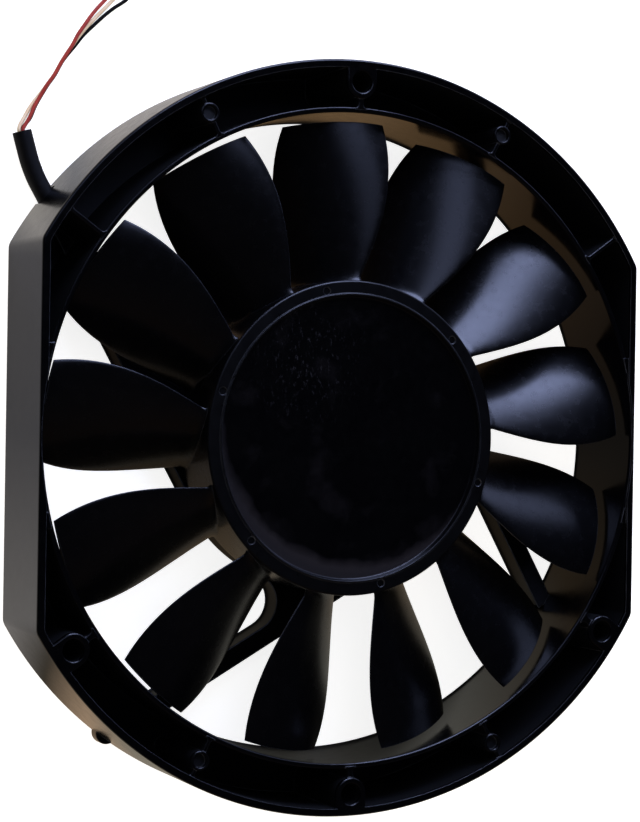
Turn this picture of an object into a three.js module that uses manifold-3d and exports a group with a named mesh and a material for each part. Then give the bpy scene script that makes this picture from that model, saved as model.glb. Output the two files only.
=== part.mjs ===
// Axial cooling fan with a truncated round frame, 13 blades and a brushless outer-rotor motor.
// Millimetres, +Z up. The fan lies on its rear face: the origin is the middle of that face and +Z is
// the rotor axis, towards the intake side. +Y is the long way of the frame, +X crosses the two flats.
import * as THREE from 'three';
import { mergeVertices } from 'three/addons/utils/BufferGeometryUtils.js';
import Module from 'manifold-3d';

const wasm = await Module();
wasm.setup();

// Frame
const frameDiameter = 172;
const frameDepth = 25.4;
const rimWall = 1.8;
const rimBevel = 0.5;
const flangeThickness = 2.4;
const ductInset = 12;
const ductWall = 1.2;
const ductLipDrop = 0.6;
const ductLipBevel = 0.5;
const flatWall = 1;
const ribThickness = 0.9;
const ribDrop = 0.5;
const endBlockWidth = 3.6;

// Screw bosses and the small round bosses between the two walls
const screwInset = 5;
const screwHoleDiameter = 4.8;
const screwBossWall = 1.4;
const screwBossAngles = [90, -90, -145.4, -34.6];
const stiffenerAngles = [35.3, 144.7];
const pinBossInset = 5.6;
const pinBossDiameter = 4.5;
const pinBossDrop = 0.3;
const pinBossAngles = [62.6, 117.4, -62.6, -117.4];

// Lug on the rim, beside the end of a strut
const lugProud = 1.4;
const lugRadius = 2.6;
const lugHeight = 3.2;
const lugAngle = -127;

// Motor base and struts
const baseInset = 0.5;
const baseHeight = 6.5;
const baseWall = 1.5;
const basePlate = 1.8;
const strutCount = 4;
const strutDirection = -60.6;
const strutWidth = 3.4;
const strutFillet = 7;
const wireStrut = 2;
const channelWall = 0.65;

// Impeller
const bladeCount = 13;
const hubDiameter = 72;
const hubWall = 1.9;
const hubRise = 0.9;
const hubDrop = 1.2;
const hubBandWidth = 3.4;
const hubRecess = 1.2;
const hubFrontWall = 1.6;
const hubEdgeRound = 0.5;
const balancePocketCount = 6;
const balancePocketDiameter = 1.8;
const balancePocketDepth = 0.5;
const balancePocketAngle = 42.6;
const tipGap = 1.5;
const bladeThickness = 1.7;
const bladeTipThickness = 1.2;
const bladeAngle = 97.85;
const bladeCamberShare = 0.075;
const bladeRootDepth = 1;
// The edges of a blade from root to tip, as control values of a cubic: turn as a share of the blade
// pitch, and height as a share of the hub's depth above its rear edge.
const leadTurnShares = [-0.37, -0.61, -0.62, -0.5];
const leadHeightShares = [0.86, 0.954, 0.932, 0.793];
const trailTurnShares = [0.37, 0.278, 0.294, 0.118];
const trailHeightShares = [0.055, 0.027, 0.107, 0.294];

// Rotor parts
const yokeThickness = 1.2;
const yokeRise = 0.8;
const magnetThickness = 3;
const magnetRise = 0.6;
const magnetDrop = 0.7;
const bushDiameter = 9;
const bushHeight = 1.8;

// Bearings, shaft and tube
const shaftDiameter = 4;
const shaftEndGap = 0.4;
const bearingDiameter = 10;
const bearingWidth = 4;
const bearingRingWall = 0.9;
const ballCount = 7;
const trackDepth = 0.2;
const cageGap = 0.3;
const cageHeight = 0.8;
const tubeWall = 1.2;
const tubeShoulder = 0.7;
const pressGap = 0.1;
const runningGap = 0.12;
const seatGap = 0.3;
const clipRise = 0.6;
const clipThickness = 0.5;
const clipWidth = 1;
const clipGrooveDepth = 0.4;
const capThickness = 0.5;
const springHeight = 1.8;
const springWire = 0.45;
const springTurns = 2;

// Stator
const statorPoles = 4;
const coreHubWall = 3;
const toothWidth = 6.4;
const shoeThickness = 1.8;
const shoeSpan = 78;
const airGap = 0.6;
const insulatorThickness = 0.7;
const insulatorRim = 1.6;
const coilThickness = 2.6;
const coilRound = 1.6;
const coilGap = 0.8;

// Circuit board
const boardThickness = 1.2;
const boardRise = 2.1;
const boardMargin = 1.2;
const boardPostDiameter = 4;
const boardPostCount = 3;
const boardPostAngle = 20;

// Leads
const leadDiameter = 0.85;
const leadGap = 0.1;
const innerLeadReach = 12;
const sleeveWall = 1.02;
const sleeveSlack = 0.2;
const sleeveInside = 8;
const tieThickness = 0.35;
const tieWidth = 3;
const connectorLength = 11;
const connectorWidth = 9.6;
const connectorHeight = 5.6;
const connectorRound = 0.6;
const connectorPitch = 2.54;
const connectorPlay = 0.7;
const connectorDistance = 6.4;
const crimpReach = 3;
const latchHeight = 0.95;

// Facets
const wideSegments = 60;
const innerSegments = 36;
const smallSegments = 18;
const tinySegments = 12;
const arcSegments = 20;
const shoeSegments = 3;
const leadSides = 6;

// Sizes worked out from the ones above: across the axis
const frameRadius = frameDiameter / 2;
const ductRadius = frameRadius - ductInset;
const ductOuterRadius = ductRadius + ductWall;
const halfFlat = ductRadius + flatWall;
const screwCircleRadius = frameRadius - screwInset;
const pinBossCircleRadius = frameRadius - pinBossInset;
const hubRadius = hubDiameter / 2;
const baseRadius = hubRadius - baseInset;
const bladeTipRadius = ductRadius - tipGap;
const shaftRadius = shaftDiameter / 2;
const bearingRadius = bearingDiameter / 2;
const tubeBore = bearingRadius + pressGap;
const tubeRadius = tubeBore + tubeWall;
const collarBore = tubeRadius + pressGap;
const collarRadius = collarBore + baseWall;
const yokeRadius = hubRadius - hubWall - seatGap;
const magnetRadius = yokeRadius - yokeThickness - seatGap;
const magnetBore = magnetRadius - magnetThickness;
const coreRadius = magnetBore - airGap;
const coreBore = tubeRadius + pressGap;
const coreHubRadius = coreBore + coreHubWall;
const shoeRadius = coreRadius - shoeThickness;
const armWidth = toothWidth + 2 * insulatorThickness;
const boardRadius = baseRadius - baseWall - boardMargin;
const boardBore = collarRadius + seatGap;
const leadRadius = leadDiameter / 2;
const leadSpacing = leadDiameter + leadGap;
const bundleRadius = leadSpacing / Math.sqrt(3);
const sleeveBore = 2 * (bundleRadius + leadRadius + sleeveSlack);
const sleeveDiameter = sleeveBore + 2 * sleeveWall;
const channelWidth = sleeveDiameter + seatGap;
const wireStrutWidth = channelWidth + 2 * channelWall;

// and along it
const hubBottom = baseHeight + hubRise;
const hubFront = frameDepth - hubDrop;
const hubPlateTop = hubFront - hubRecess;
const hubPlateBottom = hubPlateTop - hubFrontWall;
const yokeBottom = hubBottom + yokeRise;
const yokeTop = hubPlateBottom - seatGap;
const yokePlateBottom = yokeTop - yokeThickness;
const bushBottom = yokeTop - bushHeight;
const shaftBottom = capThickness + shaftEndGap;
const clipBottom = shaftBottom + clipRise;
const rearBearingBottom = clipBottom + clipThickness + pressGap;
const frontBearingTop = bushBottom - springHeight;
const frontBearingBottom = frontBearingTop - bearingWidth;
const boardUnderside = basePlate + boardRise;
const boardTop = boardUnderside + boardThickness;
const coilRoom = coilGap + coilThickness + seatGap + insulatorThickness;
const coreBottom = boardTop + coilRoom;
const coreTop = yokePlateBottom - coilRoom;
const coreThickness = coreTop - coreBottom;
const bundleHeight = sleeveDiameter / 2 + pressGap;
const channelDepth = bundleHeight + sleeveDiameter / 2 + seatGap;

const turnOf = THREE.MathUtils.degToRad;
const fullTurn = 2 * Math.PI;
const overrun = 1;

// Solids

function toSolid(geometry) {
  geometry.deleteAttribute('normal');
  geometry.deleteAttribute('uv');
  const welded = mergeVertices(geometry);
  const places = welded.attributes.position.array;
  const index = welded.index.array;
  const corners = [];
  let volume = 0;
  for (let i = 0; i < index.length; i += 3) {
    const [a, b, c] = [index[i], index[i + 1], index[i + 2]];
    if (a === b || b === c || c === a) continue;
    corners.push(a, b, c);
    const [p, q, r] = [a, b, c].map((corner) => new THREE.Vector3().fromArray(places, 3 * corner));
    volume += p.dot(q.cross(r));
  }
  if (volume < 0) corners.reverse();
  return new wasm.Manifold(new wasm.Mesh({
    numProp: 3,
    vertProperties: new Float32Array(places),
    triVerts: new Uint32Array(corners),
  }));
}

function toGeometry(solid) {
  const mesh = solid.getMesh();
  const geometry = new THREE.BufferGeometry();
  geometry.setAttribute('position', new THREE.BufferAttribute(mesh.vertProperties, 3));
  geometry.setIndex(new THREE.BufferAttribute(mesh.triVerts, 1));
  geometry.computeVertexNormals();
  return geometry;
}

// A body of revolution about Z from a closed profile of [radius, height] pairs.
function revolve(profile, segments = wideSegments) {
  const points = profile.map(([radius, height]) => new THREE.Vector2(radius, height));
  if (profile[0][0] > 0) points.push(points[0].clone());
  return toSolid(new THREE.LatheGeometry(points, segments).rotateX(Math.PI / 2));
}

function ring(bore, radius, bottom, top, segments = wideSegments) {
  return revolve([[bore, bottom], [radius, bottom], [radius, top], [bore, top]], segments);
}

function disc(radius, bottom, top, segments = wideSegments) {
  return revolve([[0, bottom], [radius, bottom], [radius, top], [0, top]], segments);
}

function prism(shape, bottom, top, curveSegments = arcSegments) {
  const depth = top - bottom;
  const geometry = new THREE.ExtrudeGeometry(shape, { depth, bevelEnabled: false, curveSegments });
  return toSolid(geometry.translate(0, 0, bottom));
}

// A block that runs outwards along a radius, from one distance to another.
function radialBlock(from, to, width, bottom, top, degrees) {
  const geometry = new THREE.BoxGeometry(to - from, width, top - bottom);
  geometry.translate((from + to) / 2, 0, (bottom + top) / 2).rotateZ(turnOf(degrees));
  return toSolid(geometry);
}

// A round tube or wire along a curve, with flat ends.
function sweep(curve, radius, sides, steps, bore = 0) {
  const section = new THREE.Shape();
  const corners = [...Array(sides).keys()].map((k) => fullTurn * k / sides);
  section.setFromPoints(corners.map((a) => new THREE.Vector2(radius * Math.cos(a), radius * Math.sin(a))));
  if (bore > 0) {
    const hole = new THREE.Path();
    hole.setFromPoints(corners.map((a) => new THREE.Vector2(bore * Math.cos(a), bore * Math.sin(a))));
    section.holes.push(hole);
  }
  return toSolid(new THREE.ExtrudeGeometry(section, { steps, extrudePath: curve }));
}

const fan = new THREE.Group();

function addPiece(name, solid, look, turnDegrees = 0) {
  const mesh = new THREE.Mesh(toGeometry(solid), new THREE.MeshStandardMaterial(look));
  mesh.name = name;
  mesh.rotation.z = turnOf(turnDegrees);
  fan.add(mesh);
}

// Looks
const blackPlastic = { color: 0x101114, roughness: 0.38, metalness: 0 };
const cream = { color: 0xd8cfae, roughness: 0.5, metalness: 0 };
const steel = { color: 0x9a9c9f, roughness: 0.3, metalness: 1 };
const polishedSteel = { color: 0xc8cacc, roughness: 0.15, metalness: 1 };
const brass = { color: 0xb08d4a, roughness: 0.3, metalness: 1 };
const magnetLook = { color: 0x3a3330, roughness: 0.8, metalness: 0 };
const copper = { color: 0xb4623a, roughness: 0.35, metalness: 1 };
const boardLook = { color: 0x1d5a38, roughness: 0.5, metalness: 0 };
const chipLook = { color: 0x1a1a1c, roughness: 0.6, metalness: 0 };
const redLook = { color: 0x8f2f2a, roughness: 0.5, metalness: 0 };
const blackLook = { color: 0x121212, roughness: 0.5, metalness: 0 };
const yellowLook = { color: 0xd9c48a, roughness: 0.5, metalness: 0 };
const sleeveLook = { color: 0x1b1c1e, roughness: 0.7, metalness: 0 };

// Frame

function truncatedCircle(radius, flat) {
  const corner = Math.acos(flat / radius);
  const outline = new THREE.Shape();
  outline.absarc(0, 0, radius, corner, Math.PI - corner);
  outline.absarc(0, 0, radius, Math.PI + corner, fullTurn - corner);
  outline.closePath();
  return outline;
}

// The outer surface of the frame, with its front and rear edges chamfered.
function frameEnvelope() {
  const geometry = new THREE.ExtrudeGeometry(truncatedCircle(frameRadius, halfFlat), {
    depth: frameDepth - 2 * rimBevel,
    bevelThickness: rimBevel,
    bevelSize: rimBevel,
    bevelOffset: -rimBevel,
    bevelSegments: 1,
    curveSegments: arcSegments,
  });
  return toSolid(geometry.translate(0, 0, rimBevel));
}

// The bore of the duct, a little wider at the intake lip and at the outlet.
function ductBore() {
  const lipTop = frameDepth - ductLipDrop;
  return revolve([
    [0, -overrun], [ductRadius + ductLipBevel, -overrun], [ductRadius + ductLipBevel, 0],
    [ductRadius, ductLipBevel], [ductRadius, lipTop - ductLipBevel], [ductRadius + ductLipBevel, lipTop],
    [ductRadius + ductLipBevel, frameDepth + overrun], [0, frameDepth + overrun],
  ]);
}

// A screw boss: half round towards the duct, with straight sides that run out to the rim.
function screwBoss(degrees) {
  const bossRadius = screwHoleDiameter / 2 + screwBossWall;
  const shape = new THREE.Shape();
  shape.absarc(screwCircleRadius, 0, bossRadius, Math.PI / 2, 3 * Math.PI / 2);
  shape.lineTo(frameRadius + overrun, -bossRadius);
  shape.lineTo(frameRadius + overrun, bossRadius);
  shape.closePath();
  const boss = prism(shape, 0, frameDepth, tinySegments / 2);
  const webTop = frameDepth - ribDrop;
  const web = new THREE.Shape();
  web.moveTo(ductOuterRadius - ductWall / 2, ribThickness);
  web.lineTo(ductOuterRadius - ductWall / 2, -ribThickness);
  web.lineTo(screwCircleRadius - screwHoleDiameter / 2, -ribThickness / 2);
  web.lineTo(screwCircleRadius - screwHoleDiameter / 2, ribThickness / 2);
  return boss.add(prism(web, 0, webTop)).rotate([0, 0, degrees]);
}

function atPlace(solid, radius, degrees) {
  return solid.translate([radius, 0, 0]).rotate([0, 0, degrees]);
}

// The point of a strut's line where it is square to the radius, and the way from there to the duct.
function strutFrame(k, distance) {
  const direction = turnOf(strutDirection + 360 * k / strutCount);
  const along = new THREE.Vector3(Math.cos(direction), Math.sin(direction), 0);
  const out = new THREE.Vector3(-Math.sin(direction), Math.cos(direction), 0);
  return { along, out, foot: out.clone().multiplyScalar(distance) };
}

// A strut lies tangent to the motor base. Its inner side runs into the base with a round.
function strut(k) {
  const isWire = k === wireStrut;
  const width = isWire ? wireStrutWidth : strutWidth;
  const inner = baseRadius - width;
  const reach = isWire ? frameRadius + overrun : ductOuterRadius - ductWall / 2;
  const end = Math.sqrt(reach ** 2 - baseRadius ** 2);
  const shape = new THREE.Shape();
  shape.moveTo(0, baseRadius);
  shape.lineTo(0, inner);
  // The round touches the base's wall and the strut's inner side.
  const centreLine = inner - strutFillet;
  const touch = Math.sqrt((baseRadius + strutFillet) ** 2 - centreLine ** 2);
  const wallTurn = Math.atan2(centreLine, touch);
  const from = wallTurn - Math.PI;
  shape.lineTo((baseRadius - overrun) * Math.cos(wallTurn), (baseRadius - overrun) * Math.sin(wallTurn));
  shape.absarc(touch, centreLine, strutFillet, from + fullTurn, Math.PI / 2, true);
  shape.lineTo(end, inner);
  shape.lineTo(end, baseRadius);
  shape.closePath();
  return prism(shape, 0, baseHeight, tinySegments / 2).rotate([0, 0, strutDirection + 360 * k / strutCount]);
}

// The motor base: a shallow cup open to the rotor, with a collar round the bearing tube.
function motorBase() {
  const foot = basePlate / 2;
  const cup = revolve([
    [0, 0], [baseRadius - foot, 0], [baseRadius, foot], [baseRadius, baseHeight],
    [baseRadius - baseWall, baseHeight], [baseRadius - baseWall, basePlate], [0, basePlate],
  ]);
  return cup.add(disc(collarRadius, basePlate / 2, baseHeight, smallSegments));
}

const channelLine = baseRadius - wireStrutWidth / 2;
const wireWay = strutFrame(wireStrut, channelLine);
const channelEnd = Math.sqrt(frameRadius ** 2 - channelLine ** 2);
const channelStart = Math.sqrt((baseRadius - baseWall) ** 2 - channelLine ** 2) / 2;

// A point in the wire channel, by its distance along the strut, across it and above the rear face.
function channelPoint(along, across, height) {
  const point = wireWay.foot.clone().addScaledVector(wireWay.along, along);
  return point.addScaledVector(wireWay.out, across).setZ(height);
}

function wireChannel() {
  const length = channelEnd + overrun - channelStart;
  const geometry = new THREE.BoxGeometry(length, channelWidth, channelDepth + overrun);
  geometry.translate(channelStart + length / 2, channelLine, (channelDepth - overrun) / 2);
  return toSolid(geometry.rotateZ(turnOf(strutDirection + 360 * wireStrut / strutCount)));
}

function fanFrame() {
  const oversize = truncatedCircle(frameRadius + overrun, halfFlat + overrun);
  const rimShape = truncatedCircle(frameRadius + overrun, halfFlat + overrun);
  rimShape.holes.push(truncatedCircle(frameRadius - rimWall, halfFlat - rimWall));
  let frame = prism(oversize, 0, flangeThickness).add(prism(rimShape, 0, frameDepth));
  frame = frame.add(ring(ductRadius - overrun, ductOuterRadius, 0, frameDepth - ductLipDrop));
  const ribTop = frameDepth - ribDrop;
  const ribFrom = ductOuterRadius - ductWall / 2;
  const ribTo = frameRadius - rimWall / 2;
  for (const degrees of screwBossAngles) frame = frame.add(screwBoss(degrees));
  for (const degrees of stiffenerAngles) {
    frame = frame.add(radialBlock(ribFrom, ribTo, ribThickness, 0, ribTop, degrees));
  }
  for (const degrees of pinBossAngles) {
    frame = frame.add(radialBlock(ribFrom, ribTo, ribThickness, 0, ribTop, degrees));
    const pin = disc(pinBossDiameter / 2, 0, frameDepth - pinBossDrop, tinySegments);
    frame = frame.add(atPlace(pin, pinBossCircleRadius, degrees));
  }
  // Where the round duct runs into the flat sides, a short block ends the trough.
  const endFrom = Math.sqrt(ductOuterRadius ** 2 - (halfFlat - rimWall) ** 2) - ribThickness;
  for (const side of [1, -1]) {
    for (const end of [1, -1]) {
      const block = new THREE.BoxGeometry(2 * rimWall, endBlockWidth, ribTop);
      block.translate(side * (halfFlat - rimWall), end * (endFrom + endBlockWidth / 2), ribTop / 2);
      frame = frame.add(toSolid(block));
    }
  }
  frame = frame.subtract(ductBore());
  for (let k = 0; k < strutCount; k += 1) frame = frame.add(strut(k));
  frame = frame.subtract(disc(baseRadius - baseWall / 2, -overrun, baseHeight + overrun));
  frame = frame.add(motorBase()).intersect(frameEnvelope());
  frame = frame.subtract(disc(collarBore, -overrun, baseHeight + overrun, smallSegments));
  frame = frame.subtract(wireChannel());
  const lug = disc(lugRadius, 0, lugHeight, tinySegments);
  frame = frame.add(atPlace(lug, frameRadius + lugProud - lugRadius, lugAngle));
  for (const degrees of screwBossAngles) {
    const hole = disc(screwHoleDiameter / 2, -overrun, frameDepth + overrun, tinySegments);
    frame = frame.subtract(atPlace(hole, screwCircleRadius, degrees));
  }
  const postRadius = baseRadius - baseWall - boardPostDiameter;
  for (let k = 0; k < boardPostCount; k += 1) {
    const post = disc(boardPostDiameter / 2, basePlate / 2, boardUnderside, tinySegments);
    frame = frame.add(atPlace(post, postRadius, boardPostAngle + 360 * k / boardPostCount));
  }
  return frame;
}

addPiece('fan_frame', fanFrame(), blackPlastic);

// Bearings and shaft

function bearingTube() {
  const bottom = capThickness + seatGap;
  const top = frontBearingTop + pressGap;
  const neck = tubeBore - tubeShoulder;
  const neckFrom = rearBearingBottom + bearingWidth + pressGap;
  const neckTo = frontBearingBottom - pressGap;
  return revolve([
    [tubeBore, bottom], [tubeRadius, bottom], [tubeRadius, top], [tubeBore, top], [tubeBore, neckTo],
    [neck, neckTo], [neck, neckFrom], [tubeBore, neckFrom],
  ], smallSegments);
}

addPiece('bearing_tube', bearingTube(), brass);
addPiece('bearing_cap', disc(tubeRadius, 0, capThickness, smallSegments), blackPlastic);

const innerRingRadius = shaftRadius + pressGap + bearingRingWall;
const outerRingBore = bearingRadius - bearingRingWall;
const ballCircleRadius = (innerRingRadius + outerRingBore) / 2;
const ballRadius = (outerRingBore - innerRingRadius) / 2 + trackDepth;
const grooveRadius = ballRadius + runningGap;

// The ball track, as profile points round the ball's section between two heights of the ring's face.
function trackPoints(face, bottom, side) {
  const middle = bottom + bearingWidth / 2;
  const depth = side * (face - ballCircleRadius);
  const half = Math.acos(depth / grooveRadius);
  return [-1, -0.4, 0.4, 1].map((share) => [
    ballCircleRadius + side * grooveRadius * Math.cos(share * half),
    middle + grooveRadius * Math.sin(share * half),
  ]);
}

function innerRing(bottom) {
  const bore = shaftRadius + pressGap;
  const top = bottom + bearingWidth;
  return revolve([
    [bore, bottom], [innerRingRadius, bottom], ...trackPoints(innerRingRadius, bottom, -1),
    [innerRingRadius, top], [bore, top],
  ], smallSegments);
}

function outerRing(bottom) {
  const top = bottom + bearingWidth;
  return revolve([
    [bearingRadius, bottom], [bearingRadius, top], [outerRingBore, top],
    ...trackPoints(outerRingBore, bottom, 1).reverse(), [outerRingBore, bottom],
  ], smallSegments);
}

function ballCage(bottom) {
  const middle = bottom + bearingWidth / 2;
  const [bottomFace, topFace] = [middle - cageHeight / 2, middle + cageHeight / 2];
  let cage = ring(innerRingRadius + cageGap, outerRingBore - cageGap, bottomFace, topFace, 2 * ballCount);
  for (let k = 0; k < ballCount; k += 1) {
    const ball = new THREE.SphereGeometry(ballRadius, 6, 4);
    ball.translate(ballCircleRadius, 0, middle).rotateZ(fullTurn * k / ballCount);
    cage = cage.add(toSolid(ball));
  }
  return cage;
}

for (const [end, bottom] of [['front', frontBearingBottom], ['rear', rearBearingBottom]]) {
  addPiece(`${end}_bearing_outer`, outerRing(bottom), polishedSteel);
  addPiece(`${end}_ball_cage`, ballCage(bottom), brass);
  addPiece(`${end}_bearing_inner`, innerRing(bottom), polishedSteel);
}

const neckRadius = shaftRadius - clipGrooveDepth;

function rotorShaft() {
  const grooveFrom = clipBottom - pressGap;
  const grooveTo = clipBottom + clipThickness + pressGap / 2;
  const edge = clipGrooveDepth / 2;
  return revolve([
    [0, shaftBottom], [shaftRadius - edge, shaftBottom], [shaftRadius, shaftBottom + edge],
    [shaftRadius, grooveFrom], [neckRadius, grooveFrom], [neckRadius, grooveTo], [shaftRadius, grooveTo],
    [shaftRadius, yokeTop], [0, yokeTop],
  ], 16);
}

addPiece('rotor_shaft', rotorShaft(), polishedSteel);

function retainingClip() {
  const open = Math.PI / 6;
  const inside = neckRadius + pressGap;
  const shape = new THREE.Shape();
  shape.absarc(0, 0, inside + clipWidth, open, fullTurn - open);
  shape.absarc(0, 0, inside, fullTurn - open, open, true);
  shape.closePath();
  return prism(shape, clipBottom, clipBottom + clipThickness, tinySegments / 2);
}

addPiece('retaining_clip', retainingClip(), steel);
const bushBore = shaftRadius + pressGap;
addPiece('shaft_bush', ring(bushBore, bushDiameter / 2, bushBottom, yokeTop, smallSegments), brass);

function preloadSpring() {
  const radius = shaftRadius + pressGap + springWire;
  const bottom = frontBearingTop + pressGap + springWire / 2;
  const rise = bushBottom - pressGap - springWire / 2 - bottom;
  const points = [];
  const steps = Math.round(springTurns * smallSegments / 2);
  for (let k = 0; k <= steps; k += 1) {
    const angle = springTurns * fullTurn * k / steps;
    const height = bottom + rise * k / steps;
    points.push(new THREE.Vector3(radius * Math.cos(angle), radius * Math.sin(angle), height));
  }
  return sweep(new THREE.CatmullRomCurve3(points), springWire / 2, 5, steps);
}

addPiece('preload_spring', preloadSpring(), steel);

// Impeller

function cubic(values, share) {
  const rest = 1 - share;
  return values[0] * rest ** 3 + 3 * values[1] * rest ** 2 * share + 3 * values[2] * rest * share ** 2
    + values[3] * share ** 3;
}

// One blade: the unit cylinder's rim becomes the section, from the leading edge over the suction side
// to the trailing edge and back, and its length becomes the span from inside the hub to the tip.
function blade(k) {
  const geometry = new THREE.CylinderGeometry(1, 1, 1, 10, 5);
  const places = geometry.attributes.position;
  const pitch = 360 / bladeCount;
  const rootRadius = hubRadius - bladeRootDepth;
  const heightOf = (share) => hubBottom + share * (hubFront - hubBottom);
  for (let i = 0; i < places.count; i += 1) {
    const radius = THREE.MathUtils.lerp(rootRadius, bladeTipRadius, places.getY(i) + 0.5);
    const span = (radius - hubRadius) / (bladeTipRadius - hubRadius);
    const side = Math.sign(places.getX(i)) * Math.abs(places.getX(i)) ** 0.7;
    const chordShare = (1 - places.getZ(i)) / 2;
    const lead = new THREE.Vector2(
      radius * turnOf(pitch * cubic(leadTurnShares, span)), heightOf(cubic(leadHeightShares, span)));
    const trail = new THREE.Vector2(
      radius * turnOf(pitch * cubic(trailTurnShares, span)), heightOf(cubic(trailHeightShares, span)));
    const chord = trail.clone().sub(lead);
    const across = new THREE.Vector2(-chord.y, chord.x).normalize();
    const bulge = bladeCamberShare * chord.length() * 4 * chordShare * (1 - chordShare);
    const half = THREE.MathUtils.lerp(bladeThickness, bladeTipThickness, span) / 2;
    const point = lead.addScaledVector(chord, chordShare).addScaledVector(across, bulge + half * side);
    const angle = turnOf(bladeAngle + pitch * k) + point.x / radius;
    places.setXYZ(i, radius * Math.cos(angle), radius * Math.sin(angle), point.y);
  }
  return toSolid(geometry);
}

function hubCup() {
  const bandInner = hubRadius - hubBandWidth;
  const inner = hubRadius - hubWall;
  return revolve([
    [0, hubPlateBottom], [inner, hubPlateBottom], [inner, hubBottom], [hubRadius, hubBottom],
    [hubRadius, hubFront - hubEdgeRound],
    [hubRadius - hubEdgeRound, hubFront], [bandInner, hubFront], [bandInner - hubRecess / 3, hubPlateTop],
    [0, hubPlateTop],
  ]);
}

function impeller() {
  let body = hubCup();
  for (let k = 0; k < bladeCount; k += 1) body = body.add(blade(k));
  const pocketRadius = hubRadius - (hubBandWidth + hubEdgeRound) / 2;
  for (let k = 0; k < balancePocketCount; k += 1) {
    const bottom = hubFront - balancePocketDepth;
    const pocket = disc(balancePocketDiameter / 2, bottom, hubFront + overrun, tinySegments / 2 + 2);
    body = body.subtract(atPlace(pocket, pocketRadius, balancePocketAngle + 360 * k / balancePocketCount));
  }
  return body;
}

addPiece('impeller', impeller(), blackPlastic);

function rotorYoke() {
  const bore = bushDiameter / 2 + seatGap;
  const inner = yokeRadius - yokeThickness;
  return revolve([
    [bore, yokePlateBottom], [inner, yokePlateBottom], [inner, yokeBottom],
    [yokeRadius, yokeBottom], [yokeRadius, yokePlateBottom], [yokeRadius - yokeThickness, yokeTop],
    [bore, yokeTop],
  ], innerSegments);
}

addPiece('rotor_yoke', rotorYoke(), steel);
addPiece('ring_magnet', ring(magnetBore, magnetRadius, yokeBottom + magnetRise,
  yokePlateBottom - magnetDrop, innerSegments), magnetLook);

// Stator

// A star with one arm and one curved shoe for each pole.
function statorStar(outer, shoe, hub, armWidth, spanDegrees) {
  const outline = new THREE.Shape();
  const foot = Math.asin(armWidth / 2 / hub);
  const neck = Math.asin(armWidth / 2 / shoe);
  const span = turnOf(spanDegrees / 2);
  const step = fullTurn / statorPoles;
  for (let k = 0; k < statorPoles; k += 1) {
    const middle = k * step;
    outline.absarc(0, 0, outer, middle - span, middle + span);
    outline.absarc(0, 0, shoe, middle + span, middle + neck, true);
    outline.absarc(0, 0, hub, middle + foot, middle + step - foot);
    outline.absarc(0, 0, shoe, middle + step - neck, middle + step - span, true);
  }
  outline.closePath();
  return outline;
}

function starPlate(star, bottom, top) {
  const bore = disc(coreBore, bottom - overrun, top + overrun, smallSegments);
  return prism(star, bottom, top, shoeSegments).subtract(bore);
}

const insulatorRadius = coreRadius - seatGap;
const insulatorSpan = shoeSpan - 2;

// The upright rim of a winding former, over one shoe.
function insulatorRimShape() {
  const span = turnOf(insulatorSpan / 2);
  const shape = new THREE.Shape();
  shape.absarc(0, 0, insulatorRadius, -span, span);
  shape.absarc(0, 0, shoeRadius, span, -span, true);
  shape.closePath();
  return shape;
}

// A winding former lies flat on the core: up from its upper face or down from its lower one.
function insulator(face, way) {
  const star = statorStar(insulatorRadius, shoeRadius, coreHubRadius, armWidth, insulatorSpan);
  const [plateFrom, plateTo] = [face, face + way * insulatorThickness].sort((a, b) => a - b);
  const [rimFrom, rimTo] = [face, face + way * (insulatorThickness + insulatorRim)].sort((a, b) => a - b);
  let former = starPlate(star, plateFrom, plateTo);
  for (let k = 0; k < statorPoles; k += 1) {
    const rim = prism(insulatorRimShape(), rimFrom, rimTo, shoeSegments);
    former = former.add(rim.rotate([0, 0, 360 * k / statorPoles]));
  }
  return former;
}

const core = statorStar(coreRadius, shoeRadius, coreHubRadius, toothWidth, shoeSpan);
addPiece('stator_core', starPlate(core, coreBottom, coreTop), steel);
addPiece('upper_insulator', insulator(coreTop, 1), cream);
const footTop = coreBottom - insulatorThickness / 2;
const footCollar = ring(coreBore, coreHubRadius, baseHeight, footTop, smallSegments);
addPiece('lower_insulator', insulator(coreBottom, -1).add(footCollar), cream);

function roundedBox(width, height, round) {
  const [x, y] = [width / 2 - round, height / 2 - round];
  const shape = new THREE.Shape();
  shape.absarc(x, y, round, 0, Math.PI / 2);
  shape.absarc(-x, y, round, Math.PI / 2, Math.PI);
  shape.absarc(-x, -y, round, Math.PI, 3 * Math.PI / 2);
  shape.absarc(x, -y, round, 3 * Math.PI / 2, fullTurn);
  shape.closePath();
  return shape;
}

// A winding: a frame of wire round one tooth, from the hub out to the shoe.
function coil() {
  const windowWidth = armWidth + 2 * seatGap;
  const windowHeight = coreThickness + 2 * insulatorThickness + 2 * seatGap;
  const shape = roundedBox(windowHeight + 2 * coilThickness, windowWidth + 2 * coilThickness, coilRound);
  shape.holes.push(roundedBox(windowHeight, windowWidth, seatGap));
  const from = coreHubRadius + seatGap;
  const to = shoeRadius - seatGap - insulatorThickness;
  const depth = to - from;
  const geometry = new THREE.ExtrudeGeometry(shape, { depth, bevelEnabled: false, curveSegments: 1 });
  geometry.rotateY(Math.PI / 2).translate(from, 0, coreBottom + coreThickness / 2);
  return toSolid(geometry);
}

for (let k = 0; k < statorPoles; k += 1) addPiece(`coil_${k + 1}`, coil(), copper, 360 * k / statorPoles);

// Circuit board

addPiece('circuit_board', ring(boardBore, boardRadius, boardUnderside, boardTop, innerSegments), boardLook);

// A part on the board, by its size, its place on a circle and the height of its lower face.
function boardPart(length, width, height, radius, bottom) {
  return toSolid(new THREE.BoxGeometry(length, width, height).translate(radius, 0, bottom + height / 2));
}

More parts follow.
